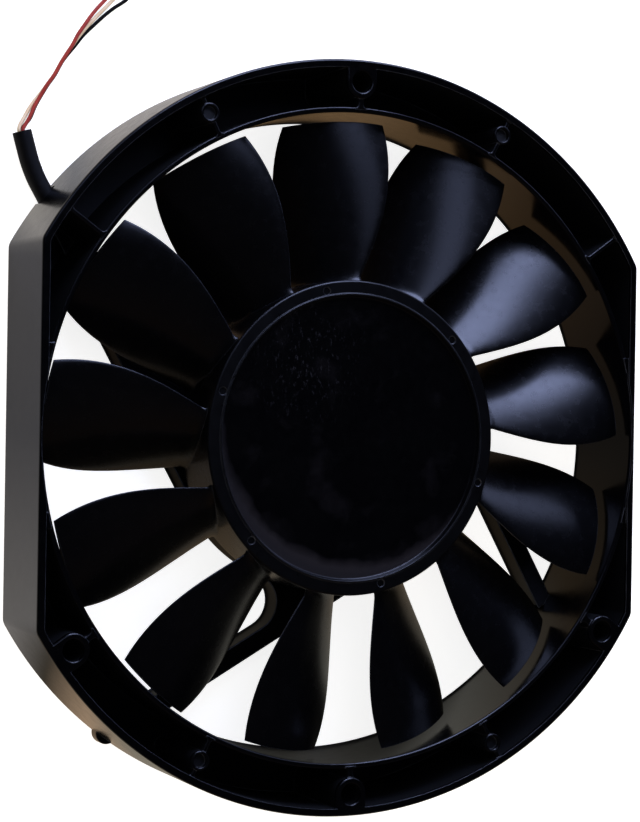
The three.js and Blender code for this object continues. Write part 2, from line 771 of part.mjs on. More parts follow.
const boardMiddle = (boardBore + boardRadius) / 2;
const chip = { length: 4, width: 5, height: 1.4, degrees: 75 };
const hall = { length: 1.6, width: 4, height: 1.5, inset: 2.2, degrees: 45 };
const guard = { length: 4.3, width: 2.6, height: 2, degrees: 135 };
const filter = { diameter: 5, height: 5.4, degrees: -45 };
addPiece('driver_chip', boardPart(chip.length, chip.width, chip.height, boardMiddle,
  boardUnderside - chip.height), chipLook, chip.degrees);
addPiece('hall_sensor', boardPart(hall.length, hall.width, hall.height, boardRadius - hall.inset, boardTop),
  chipLook, hall.degrees);
addPiece('guard_diode', boardPart(guard.length, guard.width, guard.height, boardMiddle, boardTop),
  chipLook, guard.degrees);
const canSolid = disc(filter.diameter / 2, boardTop, boardTop + filter.height, tinySegments);
addPiece('filter_capacitor', canSolid.translate([boardMiddle, 0, 0]), steel, filter.degrees);

// Leads

// Where each lead sits in the bundle, in shares of the bundle's radius: to the right and up.
const bundleShares = [[0.35, 0.94], [0.64, -0.77], [-0.98, -0.17]];
const leadNames = ['red', 'black', 'yellow'];
const leadLooks = [redLook, blackLook, yellowLook];

// The bundle's line: straight through the channel and the rim, then along the sleeve. The sleeve's
// points are counted from the rim, in sleeve diameters.
const sleeveRoute = [[-0.46, 0.8], [-0.8, 1.59], [-1.03, 2.35], [-1.26, 3.16]];
const sleeveStart = channelEnd - sleeveInside;
const straightShares = [0, 0.5, 1];
const channelMouth = channelPoint(channelEnd, 0, bundleHeight);
const sleeveLine = new THREE.CatmullRomCurve3([
  ...straightShares.map((share) => channelPoint(sleeveStart + share * sleeveInside, 0, bundleHeight)),
  ...sleeveRoute.map(([x, y]) => new THREE.Vector3(x, y, 0).multiplyScalar(sleeveDiameter).add(channelMouth)),
], false, 'centripetal');
addPiece('lead_sleeve', sweep(sleeveLine, sleeveDiameter / 2, 10, 8, sleeveBore / 2), sleeveLook);
const sleeveMouth = sleeveLine.getPointAt(1);

// A point on the floor or above it, by lead spacings from the sleeve's mouth.
function floorPoint(x, y, height) {
  return new THREE.Vector3(sleeveMouth.x + x * leadSpacing, sleeveMouth.y + y * leadSpacing, height);
}

function bundlePoint(centre, right, k) {
  const [across, up] = bundleShares[k];
  const point = centre.clone().addScaledVector(right, across * bundleRadius);
  return point.setZ(centre.z + up * bundleRadius);
}

// From its pad under the board a lead turns into the channel and runs to the mouth of the sleeve.
function innerLead(k) {
  const padHeight = boardUnderside - leadRadius - seatGap;
  const lane = [-1, 0, 1][k];
  const sag = k === 1 ? leadRadius : 0;
  const points = [
    channelPoint(-0.7 * innerLeadReach, (1.26 * lane - 5.26) * leadSpacing, padHeight),
    channelPoint(-0.3 * innerLeadReach, (1.26 * lane - 5.26) * leadSpacing, padHeight),
    channelPoint(0.12 * innerLeadReach, (1.2 * lane - 2.98) * leadSpacing, padHeight),
    channelPoint(0.44 * innerLeadReach, (lane - 0.71) * leadSpacing, padHeight - sag),
  ];
  const right = wireWay.out.clone().negate();
  for (const share of [0.15, 0.2, 0.35, 0.6, 0.85, 1]) {
    points.push(bundlePoint(channelPoint(sleeveStart * share, 0, bundleHeight), right, k));
  }
  for (const share of [0.2, 0.4, 0.55, 0.7, 0.85, 1]) {
    const tangent = sleeveLine.getTangentAt(share);
    points.push(bundlePoint(sleeveLine.getPointAt(share), new THREE.Vector3(tangent.y, -tangent.x, 0), k));
  }
  return sweep(new THREE.CatmullRomCurve3(points, false, 'centripetal'), leadRadius, leadSides, 15);
}

// The free leads leave the mouth as a bundle, spread on the floor and stack up beside the coil. Their
// points are counted from the mouth, in lead spacings, with the height in lead diameters.
const freeRoutes = [
  [[0.5, 1.2, 3.2], [1.69, 3.2, 2.95], [3.15, 6.38, 2.65], [4.96, 9.59, 2.53], [6.17, 11.57, 2.52],
    [7.73, 13.81, 2.52], [9.78, 17.53, 2.52], [12.15, 21.31, 2.5], [13.5, 23.86, 2.35],
    [15.3, 26.47, 2], [17.2, 29.08, 1.45], [18.75, 30.91, 0.95], [20.7, 33.01, 0.56],
    [24.31, 37.38, 1.08], [27.68, 41.16, 2], [30, 43.47, 2.67], [30.52, 47, 2.71]],
  [[0.75, 1.35, 1.75], [2.4, 3.37, 1.05], [3.85, 6.58, 0.6], [5.66, 9.79, 0.5], [6.86, 11.77, 0.5],
    [8.43, 14.02, 0.5], [10.47, 17.74, 0.5], [13.49, 21.63, 0.5], [15.44, 24.18, 0.5],
    [18.03, 26.8, 0.5], [20.75, 29.43, 0.5], [23, 31.32, 0.5], [26.01, 33.52, 0.5], [28.42, 36.33, 0.52],
    [29.9, 39.69, 0.52], [30.52, 43.06, 0.52], [30.52, 47, 0.52]],
  [[-0.5, 1.1, 2.4], [0.7, 3.3, 1.9], [2.6, 6.5, 1.55], [5, 9.7, 1.5], [6.44, 11.7, 1.5],
    [8.01, 13.95, 1.5], [10.06, 17.67, 1.5], [12.5, 21.45, 1.45], [14.35, 24.03, 1.25],
    [16.55, 26.64, 0.9], [18.99, 29.27, 0.6], [20.73, 31.1, 0.52], [22.71, 33.21, 0.52],
    [26.63, 36.95, 0.75], [29.05, 40.53, 1.33], [30.42, 43.47, 1.61], [30.52, 47, 1.61]],
];

function freeLead(k) {
  const tangent = sleeveLine.getTangentAt(1);
  const right = new THREE.Vector3(tangent.y, -tangent.x, 0);
  const start = bundlePoint(sleeveMouth, right, k).addScaledVector(tangent, seatGap);
  const points = [start, ...freeRoutes[k].map(([x, y, layer]) => floorPoint(x, y, layer * leadDiameter))];
  return sweep(new THREE.CatmullRomCurve3(points, false, 'centripetal'), leadRadius, leadSides, 32);
}

// The rest of each lead: three flat spirals on top of each other, tied, with the ends over the top.
const coilPlace = floorPoint(39.53, 51.47, 0);
const coilTurns = 6.6;
const coilBore = 6 * leadSpacing;
const coilRadius = coilBore / 2 + coilTurns * leadSpacing;
const coilBottom = tieThickness + seatGap;
const coilTop = coilBottom + leadNames.length * leadDiameter + pressGap;
const woundLead = ring(coilBore / 2, coilRadius, coilBottom, coilTop, 2 * tinySegments);

function leadTie() {
  const from = Math.sqrt((coilBore / 2) ** 2 - (tieWidth / 2) ** 2) - seatGap;
  const to = coilRadius + seatGap;
  const height = coilTop + seatGap + tieThickness;
  const loop = new THREE.BoxGeometry(to - from + 2 * tieThickness, tieWidth, height);
  loop.translate((from + to) / 2, 0, height / 2);
  const inside = new THREE.BoxGeometry(to - from, tieWidth + overrun, coilTop - coilBottom + 2 * seatGap);
  inside.translate((from + to) / 2, 0, (coilBottom + coilTop) / 2);
  return toSolid(loop).subtract(toSolid(inside));
}

const connectorStart = coilPlace.x + coilRadius + connectorDistance;
const connectorHole = leadDiameter + connectorPlay;

// A tail rises out of the coil's bore, crosses over the turns and runs into its hole in the connector.
function tailLead(k) {
  const lane = [-1, 0, 1][k];
  const { x, y } = coilPlace;
  const near = y + lane * (leadSpacing + runningGap / 2);
  const far = y + lane * connectorPitch;
  const over = coilTop + seatGap + leadRadius;
  const mid = connectorHeight / 2;
  const rise = coilBore / 2 - leadSpacing;
  const route = [
    [x - rise + seatGap / 2, near, leadDiameter], [x - rise + seatGap, near, 2.7 * leadDiameter],
    [x - rise + leadSpacing + seatGap, near, over - leadSpacing / 3], [x + leadSpacing, near, over],
    [x + coilBore / 2 + leadSpacing, near, over], [x + coilRadius - 2 * leadSpacing, near, over],
    [x + coilRadius + leadRadius, (near + far) / 2, over - pressGap],
    [connectorStart - 2 * leadSpacing, far, mid + leadRadius], [connectorStart - seatGap, far, mid],
    [connectorStart + crimpReach, far, mid],
  ].map((place) => new THREE.Vector3(...place));
  return sweep(new THREE.CatmullRomCurve3(route, false, 'centripetal'), leadRadius, leadSides, 10);
}

function leadConnector() {
  const housing = roundedBox(connectorHeight, connectorWidth, connectorRound);
  for (const lane of [-1, 0, 1]) {
    const hole = new THREE.Path();
    hole.absarc(0, lane * connectorPitch, connectorHole / 2, 0, fullTurn, true);
    housing.holes.push(hole);
  }
  const shell = new THREE.ExtrudeGeometry(housing, {
    depth: connectorLength, bevelEnabled: false, curveSegments: 4,
  });
  shell.rotateY(Math.PI / 2).translate(connectorStart, coilPlace.y, connectorHeight / 2);
  const latch = new THREE.BoxGeometry(connectorLength / 2, connectorPitch, latchHeight);
  latch.translate(connectorStart + connectorLength / 2, coilPlace.y, connectorHeight);
  return toSolid(shell).add(toSolid(latch));
}

for (let k = 0; k < leadNames.length; k += 1) {
  addPiece(`${leadNames[k]}_inner_lead`, innerLead(k), leadLooks[k]);
  addPiece(`${leadNames[k]}_lead`, freeLead(k), leadLooks[k]);
  addPiece(`${leadNames[k]}_tail`, tailLead(k), leadLooks[k]);
}
addPiece('lead_coil', woundLead.translate(coilPlace.toArray()), redLook);
addPiece('lead_tie', leadTie().rotate([0, 0, 90]).translate(coilPlace.toArray()), blackPlastic);
addPiece('lead_connector', leadConnector(), cream);

export default fan;
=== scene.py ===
# Axial cooling fan lying on its outlet side: the dressed model on a pale floor, lamps and camera.
# Sizes are in millimetres unless a note says otherwise.
from math import acos, atan2, ceil, cos, hypot, pi, radians, sin, sqrt, tan

import bmesh
import bpy
from mathutils import Matrix, Vector


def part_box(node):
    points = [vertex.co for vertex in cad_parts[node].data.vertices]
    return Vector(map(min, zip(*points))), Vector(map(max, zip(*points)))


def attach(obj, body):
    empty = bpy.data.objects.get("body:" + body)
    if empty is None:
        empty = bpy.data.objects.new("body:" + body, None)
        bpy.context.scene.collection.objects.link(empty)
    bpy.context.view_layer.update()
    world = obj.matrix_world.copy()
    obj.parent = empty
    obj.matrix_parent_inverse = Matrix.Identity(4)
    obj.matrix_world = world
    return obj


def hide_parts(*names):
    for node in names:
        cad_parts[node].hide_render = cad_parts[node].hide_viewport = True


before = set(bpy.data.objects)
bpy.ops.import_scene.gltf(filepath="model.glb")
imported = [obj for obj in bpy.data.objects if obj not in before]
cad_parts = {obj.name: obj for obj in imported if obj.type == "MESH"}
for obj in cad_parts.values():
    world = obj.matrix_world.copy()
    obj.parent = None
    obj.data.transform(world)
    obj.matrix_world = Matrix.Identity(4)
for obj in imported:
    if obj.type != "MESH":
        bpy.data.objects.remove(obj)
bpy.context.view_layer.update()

scene = bpy.context.scene
scene.view_settings.view_transform = "Standard"
millimetre = 0.001
fullTurn = 2 * pi

# Camera, at the angle of the photograph

cameraView = {
    "yaw": 25.15, "pitch": 0.162, "roll": -0.916,  # degrees
    "origin": (-2.394, -5.947, -505.954),  # the fan's origin as the camera sees it
    "focal": 2124.32, "imageWidth": 640,  # pixels
    "sensor": 36, "clip": (0.01, 20),  # millimetres, and metres
}


def addCamera(view):
    data = bpy.data.cameras.new("camera")
    data.sensor_fit = "HORIZONTAL"
    data.sensor_width = view["sensor"]
    data.lens = view["focal"] * view["sensor"] / view["imageWidth"]
    data.clip_start, data.clip_end = view["clip"]
    turn = (Matrix.Rotation(radians(view["roll"]), 3, "Z")
            @ Matrix.Rotation(radians(view["pitch"]), 3, "X")
            @ Matrix.Rotation(radians(view["yaw"]), 3, "Y")).transposed()
    place = -(turn @ (Vector(view["origin"]) * millimetre))
    camera = bpy.data.objects.new("camera", data)
    camera.matrix_world = Matrix.Translation(place) @ turn.to_4x4()
    scene.collection.objects.link(camera)
    scene.camera = camera


addCamera(cameraView)
print("camera placed")

# Mesh helpers


def newPiece(name, points, faces):
    mesh = bpy.data.meshes.new(name)
    mesh.from_pydata([tuple(c * millimetre for c in point) for point in points], [], faces)
    bm = bmesh.new()
    bm.from_mesh(mesh)
    bmesh.ops.recalc_face_normals(bm, faces=bm.faces)
    bm.to_mesh(mesh)
    bm.free()
    piece = bpy.data.objects.new(name, mesh)
    scene.collection.objects.link(piece)
    return piece


# From one angle to another, with both ends.
def arcPoints(centre, radius, first, last, steps):
    turns = [first + (last - first) * s / steps for s in range(steps + 1)]
    return [(centre[0] + radius * cos(turn), centre[1] + radius * sin(turn)) for turn in turns]


def circlePoints(radius, count, centre=(0, 0)):
    return arcPoints(centre, radius, 0, fullTurn, count)[:-1]


# Anticlockwise, with what more is given at each corner.
def rectangle(low, high, *more):
    return [(x, y, *more) for x, y in ((low[0], low[1]), (high[0], low[1]), (high[0], high[1]),
                                       (low[0], high[1]))]


# Four-cornered faces between rows of equally many points, each row a loop.
def skinFaces(rows, count, joined=False):
    faces = []
    for row in range(rows if joined else rows - 1):
        start, after = row * count, (row + 1) % rows * count
        for k in range(count):
            n = (k + 1) % count
            faces.append([start + k, start + n, after + n, after + k])
    return faces


# A skin over loops of equally many points, closed at both ends.
def loftPiece(name, loops):
    count = len(loops[0])
    points = [point for loop in loops for point in loop]
    ends = [list(range(count)), list(range(len(points) - count, len(points)))]
    return newPiece(name, points, ends + skinFaces(len(loops), count))


# A body of revolution about Z from a closed profile of (radius, height) points.
def turnedPiece(name, profile, segments):
    points, rows = [], []
    for radius, height in profile:
        if radius < 1e-6:
            points.append((0, 0, height))
            rows.append([len(points) - 1] * segments)
        else:
            rows.append(list(range(len(points), len(points) + segments)))
            points += [(x, y, height) for x, y in circlePoints(radius, segments)]
    faces = []
    for row, after in zip(rows, rows[1:] + rows[:1]):
        for k in range(segments):
            n = (k + 1) % segments
            face = list(dict.fromkeys([row[k], row[n], after[n], after[k]]))
            if len(face) > 2:
                faces.append(face)
    return newPiece(name, points, faces)


# The same closed outline with the corners that name a radius rounded, over no more than a share of a side.
def roundCorners(corners, steps=4, most=0.49):
    points = []
    for i, corner in enumerate(corners):
        place = Vector(corner[:2])
        if len(corner) < 3:
            points.append(tuple(place))
            continue
        back = Vector(corners[i - 1][:2]) - place
        ahead = Vector(corners[(i + 1) % len(corners)][:2]) - place
        half = acos(max(-1, min(1, back.normalized().dot(ahead.normalized())))) / 2
        reach = min(corner[2] / tan(half), most * back.length, most * ahead.length)
        start, end = place + back.normalized() * reach, place + ahead.normalized() * reach
        centre = place + (back.normalized() + ahead.normalized()).normalized() * reach / cos(half)
        first = atan2(*(start - centre).yx)
        sweep = (atan2(*(end - centre).yx) - first + pi) % fullTurn - pi
        points += arcPoints(centre, reach * tan(half), first, first + sweep, steps)
    return points


# Outline points moved inwards by a small distance; the outline runs anticlockwise.
def insetOutline(outline, distance, least=0.3):
    if distance == 0:
        return outline
    moved = []
    for i, (x, y) in enumerate(outline):
        ax, ay = outline[i - 1]
        bx, by = outline[(i + 1) % len(outline)]
        first = Vector((ay - y, x - ax)).normalized()
        second = Vector((y - by, bx - x)).normalized()
        mitre = (first + second) / max(least, 1 + first.dot(second))
        moved.append((x + mitre.x * distance, y + mitre.y * distance))
    return moved


# A plate on an outline. Its lower and upper edges are rounded, or flare where the radius is negative.
def platePiece(name, outline, bottom, top, bottomRound=0, topRound=0, steps=4):
    levels = []
    for s in range(steps + 1) if bottomRound else [steps]:
        turn = pi / 2 * s / steps
        levels.append((bottom + abs(bottomRound) * (1 - cos(turn)), bottomRound * (1 - sin(turn))))
    for s in range(steps + 1) if topRound else [0]:
        turn = pi / 2 * s / steps
        levels.append((top - abs(topRound) * (1 - sin(turn)), topRound * (1 - cos(turn))))
    return loftPiece(name, [[(x, y, height) for x, y in insetOutline(outline, inset)]
                            for height, inset in levels])


def turnPoints(outline, degrees):
    c, s = cos(radians(degrees)), sin(radians(degrees))
    return [(x * c - y * s, x * s + y * c) for x, y in outline]


def bakeModifiers(piece):
    depsgraph = bpy.context.evaluated_depsgraph_get()
    baked = bpy.data.meshes.new_from_object(piece.evaluated_get(depsgraph), depsgraph=depsgraph)
    piece.modifiers.clear()
    piece.data = baked


# Adds the tools to the piece, or cuts them from it, and then drops them.
def shapeWith(piece, tools, operation):
    for tool in tools:
        step = piece.modifiers.new("step", "BOOLEAN")
        step.operation, step.solver, step.object = operation, "MANIFOLD", tool
    bakeModifiers(piece)
    for tool in tools:
        bpy.data.objects.remove(tool)


# One material, smooth faces with sharp edges kept, and the piece's place in the frame.
def finishPiece(piece, material, body, nodes, sharp=35, weight=90):
    piece.data.materials.clear()
    piece.data.materials.append(material)
    if piece.type == "MESH":
        for polygon in piece.data.polygons:
            polygon.material_index = 0
        piece.data.shade_smooth()
        piece.data.set_sharp_from_angle(angle=radians(sharp))
        even = piece.modifiers.new("even", "WEIGHTED_NORMAL")
        even.weight, even.keep_sharp = weight, True
        bakeModifiers(piece)
    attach(piece, body)
    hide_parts(*nodes)


# Points along a smooth line through the given ones, about a spacing apart.
def smoothPath(points, spacing=0.5):
    given = [Vector(p) for p in points]
    ends = [2 * given[0] - given[1]] + given + [2 * given[-1] - given[-2]]
    line = []
    for i in range(len(given) - 1):
        p = ends[i:i + 4]
        gaps = [max(sqrt((p[n + 1] - p[n]).length), 1e-4) for n in range(3)]
        leave = gaps[1] * ((p[1] - p[0]) / gaps[0] - (p[2] - p[0]) / (gaps[0] + gaps[1])
                           + (p[2] - p[1]) / gaps[1])
        arrive = gaps[1] * ((p[2] - p[1]) / gaps[1] - (p[3] - p[1]) / (gaps[1] + gaps[2])
                            + (p[3] - p[2]) / gaps[2])
        steps = max(2, round((p[2] - p[1]).length / spacing))
        for s in range(steps):
            t = s / steps
            line.append(p[1] * (2 * t ** 3 - 3 * t ** 2 + 1) + leave * (t ** 3 - 2 * t ** 2 + t)
                        + p[2] * (3 * t ** 2 - 2 * t ** 3) + arrive * (t ** 3 - t ** 2))
    return line + [given[-1]]


# A round wire along a line, as a curve.
def wirePiece(name, line, diameter):
    data = bpy.data.curves.new(name, "CURVE")
    data.dimensions = "3D"
    data.bevel_depth = diameter / 2 * millimetre
    data.bevel_resolution = 4
    data.use_fill_caps = True
    spline = data.splines.new("POLY")
    spline.points.add(len(line) - 1)
    for point, place in zip(spline.points, line):
        point.co = (*(place * millimetre), 1)
    wire = bpy.data.objects.new(name, data)
    scene.collection.objects.link(wire)
    return wire


# A tube with a wall, along a line.
def tubePiece(name, line, outerRadius, innerRadius, sides=32):
    frames = []
    for i, place in enumerate(line):
        ahead = (line[min(i + 1, len(line) - 1)] - line[max(i - 1, 0)]).normalized()
        side = ahead.cross(Vector((0, 0, 1))).normalized()
        frames.append((place, side, side.cross(ahead)))
    points = []
    for radius, way in ((outerRadius, frames), (innerRadius, frames[::-1])):
        for place, side, up in way:
            points += [place + side * x + up * y for x, y in circlePoints(radius, sides)]
    return newPiece(name, points, skinFaces(2 * len(line), sides, True))


# Material helpers


# Links the inputs of a node, or sets them.
def feed(tree, node, inputs):
    for key, value in inputs.items():
        if isinstance(value, bpy.types.NodeSocket):
            tree.links.new(value, node.inputs[key])
        else:
            node.inputs[key].default_value = value


# A new node's outputs.
def addNode(tree, kind, inputs=None, **settings):
    node = tree.nodes.new("ShaderNode" + kind)
    for key, value in settings.items():
        setattr(node, key, value)
    feed(tree, node, inputs or {})
    return node.outputs


# The empty tree of a new world or material, and what kind of ray asks it.
def clearTree(owner):
    owner.use_nodes = True
    owner.node_tree.nodes.clear()
    return owner.node_tree, addNode(owner.node_tree, "LightPath")


def newMaterial(name):
    material = bpy.data.materials.new(name)
    material.use_nodes = True
    tree = material.node_tree
    place = addNode(tree, "TexCoord")["Object"]
    return material, tree, tree.nodes["Principled BSDF"], place


def colour(hexCode):
    channels = [int(hexCode[i:i + 2], 16) / 255 for i in (0, 2, 4)]
    return tuple(c / 12.92 if c < 0.04045 else ((c + 0.055) / 1.055) ** 2.4 for c in channels) + (1,)


# A noise whose blotches are about a size across, in millimetres.
def blotches(tree, place, size, detail=3.0, rough=0.55):
    return addNode(tree, "TexNoise", {"Vector": place, "Scale": 1 / (size * millimetre),
                                      "Detail": detail, "Roughness": rough})["Fac"]


usual = (0.3, 0.7)  # most of a noise lies between these
soiled = (0.58, 0.75)  # and little of it over these


def spread(tree, value, low, high, toLow=0.0, toHigh=1.0):
    return addNode(tree, "MapRange", {"Value": value, "From Min": low, "From Max": high,
                                      "To Min": toLow, "To Max": toHigh})["Result"]


# Blotches, spread from a cut of their values to two others.
def patches(tree, place, size, cut, low=0.0, high=1.0, detail=3.0, rough=0.55):
    return spread(tree, blotches(tree, place, size, detail, rough), *cut, low, high)


# One value worked on, or several of them one after another.
def maths(tree, operation, first, *others):
    for other in others or [0.0]:
        first = addNode(tree, "Math", {0: first, 1: other}, operation=operation)[0]
    return first


def mixColours(tree, share, first, second):
    return addNode(tree, "MixRGB", {"Fac": share, "Color1": first, "Color2": second})["Color"]


def roundedNormal(tree, radius):
    return addNode(tree, "Bevel", {"Radius": radius * millimetre}, samples=4)["Normal"]


# Height in millimetres into a surface normal; the edges of the solid are rounded first.
def bumpNormal(tree, height, edge=0.0):
    inputs = {"Height": height, "Distance": millimetre, "Strength": 1.0}
    if edge:
        inputs["Normal"] = roundedNormal(tree, edge)
    return addNode(tree, "Bump", inputs)["Normal"]


# One where the solid has an edge, nought on its faces.
def edgeShare(tree, radius, low=0.02, high=0.2):
    flat = addNode(tree, "NewGeometry")["Normal"]
    agree = addNode(tree, "VectorMath", {0: roundedNormal(tree, radius), 1: flat},
                    operation="DOT_PRODUCT")["Value"]
    return spread(tree, agree, 1 - low, 1 - high)


# The parts of a place, the place without its height, and its distance from the Z axis.
def aroundAxis(tree, place):
    split = addNode(tree, "SeparateXYZ", {"Vector": place})
    flat = addNode(tree, "CombineXYZ", {"X": split["X"], "Y": split["Y"]})["Vector"]
    return split, flat, addNode(tree, "VectorMath", {0: flat}, operation="LENGTH")["Value"]


beyond = 500  # past anything that is drawn


# One in a ring about Z, nought outside it: between two radii, two flats and two heights.
def ringShare(tree, place, inner=-beyond, outer=beyond, flat=beyond, low=-beyond, high=beyond):
    split, _, radius = aroundAxis(tree, place)
    across = maths(tree, "ABSOLUTE", split["X"])
    tests = [("GREATER_THAN", radius, inner), ("LESS_THAN", radius, outer), ("LESS_THAN", across, flat),
             ("GREATER_THAN", split["Z"], low), ("LESS_THAN", split["Z"], high)]
    return maths(tree, "MULTIPLY", *[maths(tree, test, value, limit * millimetre)
                                     for test, value, limit in tests])


# A share that changes with the distance from a point on the face, with an uneven edge.
def aroundPoint(tree, place, mark, near, far):
    flat = aroundAxis(tree, place)[1]
    point = (mark["at"][0] * millimetre, mark["at"][1] * millimetre, 0)
    distance = addNode(tree, "VectorMath", {0: flat, 1: point}, operation="DISTANCE")["Value"]
    uneven = maths(tree, "MULTIPLY", blotches(tree, place, mark["patch"], mark["detail"]),
                   mark["uneven"] * millimetre)
    return spread(tree, maths(tree, "ADD", distance, uneven), mark["start"] * millimetre,
                  mark["end"] * millimetre, near, far)


# The first two tones of a look in soft patches.
def twoTones(tree, place, look, cut=(0.35, 0.65)):
    share = patches(tree, place, look["patch"], cut)
    return mixColours(tree, share, *[colour(tone) for tone in look["tones"][:2]])


# The face of the hub is smoother and the band round it duller; the face has flecks, smears and a
# scuffed arc.
def markHub(tree, place, look, shade, gloss):
    face, band = ringShare(tree, place, **look["face"]), ringShare(tree, place, **look["band"])
    gloss = maths(tree, "ADD", gloss, maths(tree, "MULTIPLY", face, look["faceGloss"]),
                  maths(tree, "MULTIPLY", band, look["bandGloss"]))
    flecks, scuff, smear = look["flecks"], look["scuff"], look["smear"]
    clusters = aroundPoint(tree, place, flecks, flecks["share"], 0.0)
    stretched = addNode(tree, "Mapping", {"Vector": place, "Scale": flecks["stretch"],
                                          "Rotation": (0, 0, flecks["turn"])})["Vector"]
    marks = patches(tree, stretched, flecks["size"], flecks["cut"], rough=flecks["rough"])
    shade = mixColours(tree, maths(tree, "MULTIPLY", face, marks, clusters), shade, colour(flecks["colour"]))
    smears = patches(tree, place, smear["patch"], smear["cut"], 0.0, smear["share"], detail=4.0)
    smears = maths(tree, "MAXIMUM", smears, aroundPoint(tree, place, scuff, 0.0, scuff["share"]))
    return mixColours(tree, maths(tree, "MULTIPLY", face, smears), shade, colour(smear["colour"])), gloss


# Moulded plastic: fine grain and soft waves in the surface, uneven gloss, paler edges (partly rubbed, partly
# a painted highlight) and dust.
# Some rings of it may be dull, and it may have a hub.
def mouldedPlastic(name, look):
    material, tree, shader, place = newMaterial(name)
    shade = twoTones(tree, place, look)
    # Paler edges: partly rubbed wear, partly a painted highlight along the edges.
    rubbedAndHighlit = patches(tree, place, look["rubPatch"], look["rubCut"], look["rubLeast"], detail=2.0)
    rubbedAndHighlit = maths(tree, "MULTIPLY", edgeShare(tree, look["edge"]), look["edgeWearAndHighlight"], rubbedAndHighlit)
    shade = mixColours(tree, rubbedAndHighlit, shade, colour(look["wornAndHighlitEdge"]))
    specks = patches(tree, place, look["speck"], look["speckCut"], 0.0, look["dust"], detail=1.0)
    shade = mixColours(tree, specks, shade, colour(look["dustColour"]))
    gloss = patches(tree, place, look["streak"], usual, *look["gloss"], detail=5.0)
    for dullGloss, ring in look.get("dull", []):
        dull = maths(tree, "MULTIPLY", ringShare(tree, place, **ring), dullGloss)
        gloss = maths(tree, "MAXIMUM", gloss, dull)
    if "hub" in look:
        shade, gloss = markHub(tree, place, look["hub"], shade, gloss)
    grain, wave = [maths(tree, "MULTIPLY", blotches(tree, place, look[kind][0], detail), look[kind][1])
                   for kind, detail in (("grain", 2.0), ("wave", 1.0))]
    feed(tree, shader, {"Base Color": shade, "Roughness": gloss,
                        "Normal": bumpNormal(tree, maths(tree, "ADD", grain, wave), look["edge"])})
    return material


# Metal: turned, rolled or cast, with fine marks round the axis or in all directions.
def plainMetal(name, look):
    material, tree, shader, place = newMaterial(name)
    shade = twoTones(tree, place, look)
    if look.get("turned"):
        split, _, radius = aroundAxis(tree, place)
        place = addNode(tree, "CombineXYZ", {"X": radius, "Z": split["Z"]})["Vector"]
    marks = blotches(tree, place, look["grain"][0], detail=4.0)
    height = maths(tree, "MULTIPLY", marks, look["grain"][1])
    feed(tree, shader, {"Base Color": shade, "Roughness": spread(tree, marks, *usual, *look["gloss"]),
                        "Metallic": 1.0, "Normal": bumpNormal(tree, height, look["edge"])})
    return material


print("helpers ready")

# Floor and lamps

floorLook = {
    "halfSide": 3000, "colour": "dcd9d4", "shown": 0.83,
    # What gloss shows of the floor: some of its own light, and a painted reflection, a glow that changes
    # along Y, one for the floor round the fan and one for the floor inside the duct; its dips are painted
    # shade. Under the flange there is none, a painted shadow.
    "mirrored": 0.15, "ductEdge": 73, "underEdge": 86, "underFlat": 75,
    "around": [(-120, 0.60, "fff0d0"), (-76, 0.30, "fff2d8"), (-67, 0.56, "ffd8b0"),
               (-56, 0.04, "ffe6b4"), (-42, 0.48, "faf4f0"), (0, 0.21, "f0eef6"), (40, 0.24, "f6f2f4"),
               (50, 0.70, "fff8f0"), (62, 0.38, "f8f6f8"), (70, 0.54, "fff6ee")],
    "within": [(-66, 0.06, "f2efe2"), (-59, 0.36, "f2efe2"), (-30, 0.17, "ffdcb0"), (0, 0.07, "efe0d0"),
               (40, 0.15, "ffcc96"), (73, 0.27, "ffcb90")],
}


# Painted reflection: glow colours at steps along Y, run together.
def paintedGlowAlong(tree, height, stops):
    low, high = stops[0][0] * millimetre, stops[-1][0] * millimetre
    glow = addNode(tree, "ValToRGB", {"Fac": spread(tree, height, low, high)})["Color"]
    steps = glow.node.color_ramp.elements
    while len(steps) < len(stops):
        steps.new(0.5)
    for step, (y, strength, tint) in zip(steps, stops):
        step.position = (y * millimetre - low) / (high - low)
        step.color = [value * strength for value in colour(tint)[:3]] + [1]
    return glow


